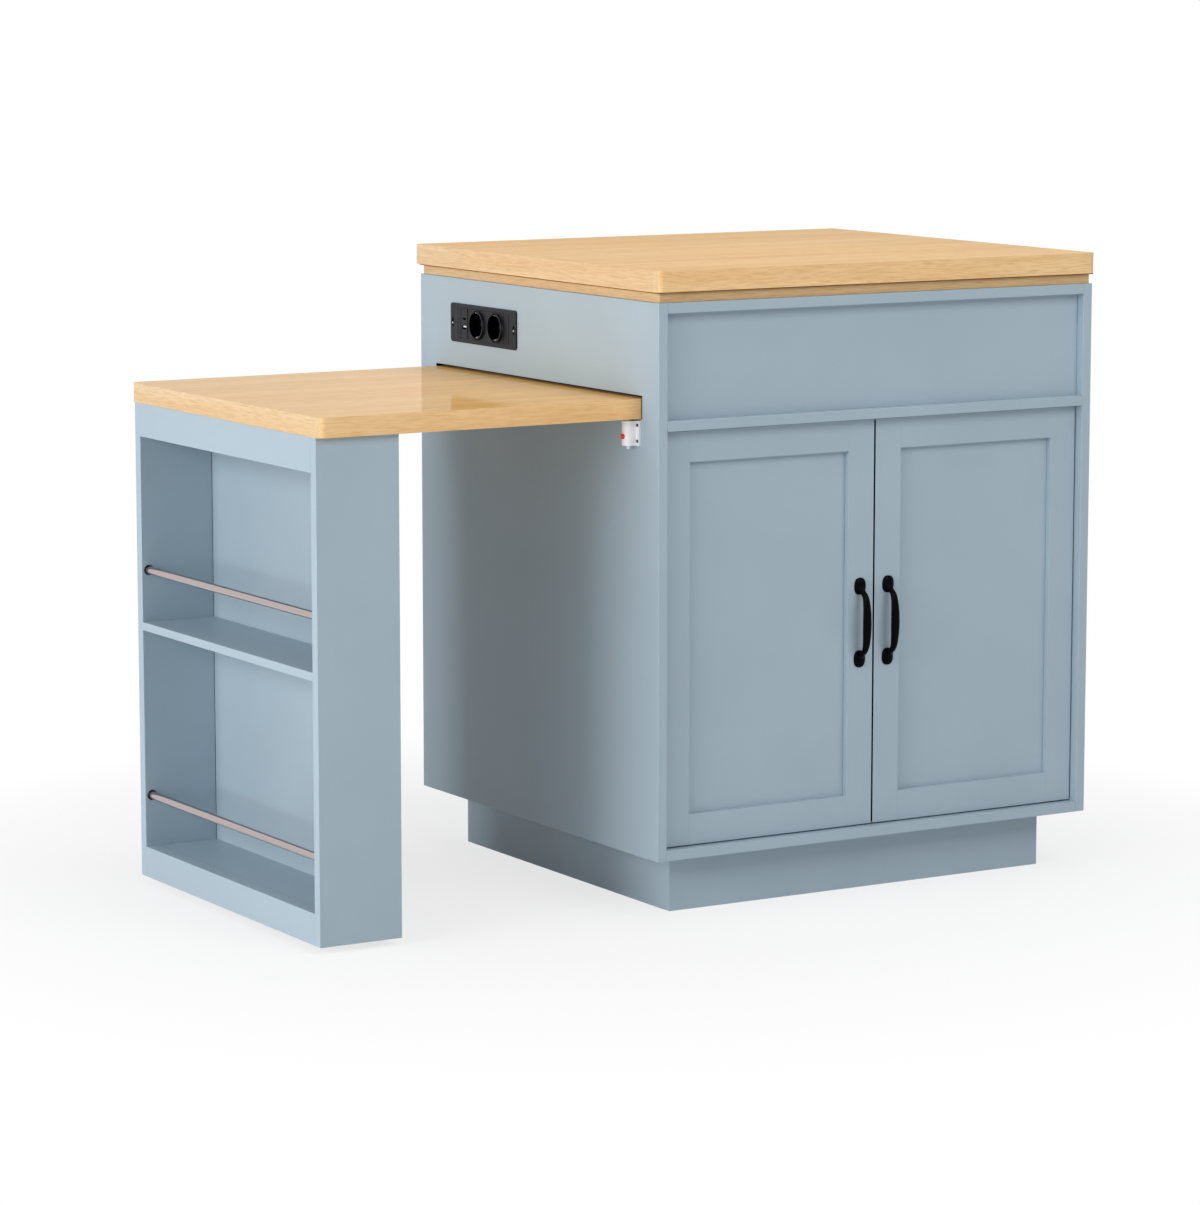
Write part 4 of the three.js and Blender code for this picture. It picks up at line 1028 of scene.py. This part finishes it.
# %% [markdown]
# ### Earth clips
#
# The earth contacts are sprung metal strips at the top and the bottom of each recess. They
# are tiny, and they are what makes the dark holes read as sockets. Flat strips would look
# like paint; these bow inwards, so they catch the light.

# %% Earth clips
CLIP_START, CLIP_END = -6.3, 8.0
CLIP_BOW, CLIP_CLEAR = 2.2, 0.5
CLIP_RADIUS = 19.0  # from the socket's middle to where a clip is fixed
CLIP_HALF_WIDE, CLIP_HALF_THICK = 1.9, 0.35


def earth_clip(y, up):
    """A thin strip that enters at the recess's rim and bows towards the plug, by the sine
    of its way in."""
    x = np.linspace(CLIP_START, CLIP_END, 14)
    way_in = (x - CLIP_START) / (CLIP_END - CLIP_START)
    bulge = CLIP_BOW * np.sin(np.pi * way_in) + CLIP_CLEAR
    path = np.stack([x, np.full_like(x, y), OUTLET_Z + up * (CLIP_RADIUS - bulge)], -1)
    return tube(path, CLIP_HALF_WIDE, CLIP_HALF_THICK, (0, 1, 0), sides=12)


build("earth_clips", [earth_clip(y, up) for y in SOCKET_Y for up in (-1, 1)],
      contact_metal, "cabinet")

# %% [markdown]
# ### Inside the sockets
#
# Each recess is darker than the plate, by painted shade for its hollow: it gets a thin
# near-black lining, a near-black floor and two black discs, painted shade for the pin holes.
# Real holes could be cut through the floor, but nobody sees deeper than that, so black discs
# on it are enough.

# %% Floors, linings and pin holes
SHADE_FLOOR_DISC = [(0, 9.4), (19.2, 9.4), (19.2, 9.95), (0, 9.95)]
SHADE_LINING = [(19.24, -6.7), (19.24, 9.9), (19.05, 9.9), (19.05, -6.7), (19.24, -6.7)]
PIN_HOLE_SHADE = [(0, 9.0), (2.7, 9.0), (2.7, 9.5), (0, 9.5)]
PIN_SPREAD = 9.5

for name, profile in (("socket_floors", SHADE_FLOOR_DISC), ("socket_linings", SHADE_LINING)):
    rounds = [turned(profile, (0, y, OUTLET_Z), "X", sides=48) for y in SOCKET_Y]
    build(name, rounds, black_plastic_and_shade, "cabinet")
pins = [turned(PIN_HOLE_SHADE, (0, y + dy, OUTLET_Z), "X", sides=24)
        for y in SOCKET_Y for dy in (-PIN_SPREAD, PIN_SPREAD)]
build("socket_pin_hole_shades", pins, hole_shade, "cabinet")

# %% [markdown]
# ### USB tongues
#
# Inside each USB port a flat tongue carries the contacts: white in the wide port, black in
# the small one. Two small blocks do for them.

# %% USB tongues
WIDE_TONGUE = ((-1.8, 541.6, 803.2), (6.8, 552.4, 805.2))
SMALL_TONGUE = ((-1.6, 543.4, 815.65), (3.2, 550.6, 816.35))

build("usb_tongue_wide", [rounded_block(*WIDE_TONGUE, radius=0.3)], white_plastic,
      "cabinet")
build("usb_tongue_small", [rounded_block(*SMALL_TONGUE, radius=0.2)], black_plastic_and_shade,
      "cabinet")

# %% [markdown]
# ## Slot band
#
# The slot that the leaf slides through is edged with a thin black band. Seen from outside it
# is the dark line round the leaf. It is three bars, over the leaf and at its two sides;
# underneath, the leaf hides its own gap.

# %% Slot band
SLOT_FRONT, SLOT_BACK, SLOT_TOP, SLOT_BOTTOM = 44.25, 639.75, 742.5, 710.0
BAND_X = (-0.25, 14.9)  # through the side board
BAND_IN, BAND_OVER, BAND_LET_IN = 0.9, 1.0, 0.1  # beside and over the leaf, in the board


def band_bar(y, z):
    """One bar of the band, through the side board."""
    (x0, x1), (y0, y1), (z0, z1) = BAND_X, y, z
    return rounded_block((x0, y0, z0), (x1, y1, z1), radius=0.25)


upright = (SLOT_BOTTOM, SLOT_TOP)
band = [band_bar((SLOT_FRONT, SLOT_BACK), (SLOT_TOP - BAND_OVER, SLOT_TOP + BAND_LET_IN)),
        band_bar((SLOT_FRONT - BAND_LET_IN, SLOT_FRONT + BAND_IN), upright),
        band_bar((SLOT_BACK - BAND_IN, SLOT_BACK + BAND_LET_IN), upright)]
build("slot_band", band, black_plastic_and_shade, "cabinet")

# %% [markdown]
# ## Painted shade in the shelf unit's gaps
#
# Inside the shelf unit, where the back board meets the side boards, the gap between them
# shows as a thin dark line of shade. Thin dark bars are laid there as painted shade; cutting
# real gaps would change boards that already fit.

# %% Painted shade at the shelf unit's back board
GAP_SHADE_X = (-392.5, -391.9)
GAP_SHADE_Y = ((71.9, 72.5), (611.5, 612.1))
GAP_SHADE_Z = ((55.2, 376.8), (389.2, 700))  # under and over the middle shelf

gap_shades = [rounded_block((GAP_SHADE_X[0], y0, z0), (GAP_SHADE_X[1], y1, z1), radius=0.2)
         for y0, y1 in GAP_SHADE_Y for z0, z1 in GAP_SHADE_Z]
build("shelf_unit_gap_shades", gap_shades, black_plastic_and_shade, "extension")

# %% [markdown]
# ## Painted shadow under the worktop
#
# Under the worktop, a dark brown line stands for the shadow that the worktop's small
# overhang casts on the set-in board: painted shadow, in four bars, one along each edge. A
# painted line would do on a flat face, but this one runs round in a corner.

# %% Painted shadow under the worktop
SHADOW_LINE_X, SHADOW_LINE_Y, SHADOW_LINE_Z = (-1.7, 751.7), (0.3, 687.7), (888.4, 889.9)
SHADOW_LINE_THICK = 0.6

(x0, x1), (y0, y1), (z0, z1) = SHADOW_LINE_X, SHADOW_LINE_Y, SHADOW_LINE_Z
shadow_line_bars = [rounded_block((left, front, z0), (right, back, z1), radius=0.1, steps=3)
             for left, right, front, back in (
                 (x0, x1, y0, y0 + SHADOW_LINE_THICK), (x0, x1, y1 - SHADOW_LINE_THICK, y1),
                 (x0, x0 + SHADOW_LINE_THICK, y0, y1), (x1 - SHADOW_LINE_THICK, x1, y0, y1))]
build("worktop_overhang_shadow", shadow_line_bars, overhang_shadow, "cabinet")

# %% [markdown]
# ## Painted shade in the door gap
#
# A thin black bar on the right door's free edge fills the gap between the doors: painted
# shade, so that the gap looks as dark as a deep gap in shadow. It rides on the door, so it
# swings away with it.

# %% Painted shade in the door gap
DOOR_GAP_SHADE = ((375.7, 14.9, 104.0), (376.6, 20.9, 691.0))

build("door_gap_shade", [rounded_block(*DOOR_GAP_SHADE, radius=0.25)], black_plastic_and_shade, "door_right")

# %% [markdown]
# ## Shelf pins
#
# The loose shelf rests on four pins, two in each side. Each is a short turned peg with a
# flat spoon under the board. They are seen only when a door is open, so a lathe and a block
# are enough.

# %% Shelf pins
PIN_WALLS = {15.0: 1, 735.0: -1}  # inner face of each side panel, and the way in
PIN_Y = (90.0, 625.0)
PEG_Z, SPOON_Z = 382.4, (383.8, 385.0)
PEG_PROFILE = np.array([(0, 0), (3.6, 0), (3.6, 1), (2.5, 1.5), (2.5, 8), (2.1, 8.6),
                        (0, 8.6)])
SPOON_START, SPOON_END, SPOON_HALF = 1.6, 10, 4

pegs = []
for wall, into in PIN_WALLS.items():
    x0, x1 = sorted((wall + SPOON_START * into, wall + SPOON_END * into))
    for y in PIN_Y:
        pegs.append(turned(PEG_PROFILE * (1, into), (wall, y, PEG_Z), "X", sides=24))
        pegs.append(rounded_block((x0, y - SPOON_HALF, SPOON_Z[0]),
                                  (x1, y + SPOON_HALF, SPOON_Z[1]), radius=0.4))
build("shelf_pins", pegs, nickel, "cabinet")

# %% [markdown]
# ## The two boxes
#
# The box of the dressed object is compared with the CAD model's own. If the two differ by
# more than a few millimetres, something was added in the wrong place.

# %% The two boxes
visual_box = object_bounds()
reach = np.abs(np.array([list(c) for c in visual_box]) - [list(c) for c in cad_box]).max()
print("the two boxes differ by up to", round(1000 * reach, 1), "mm")
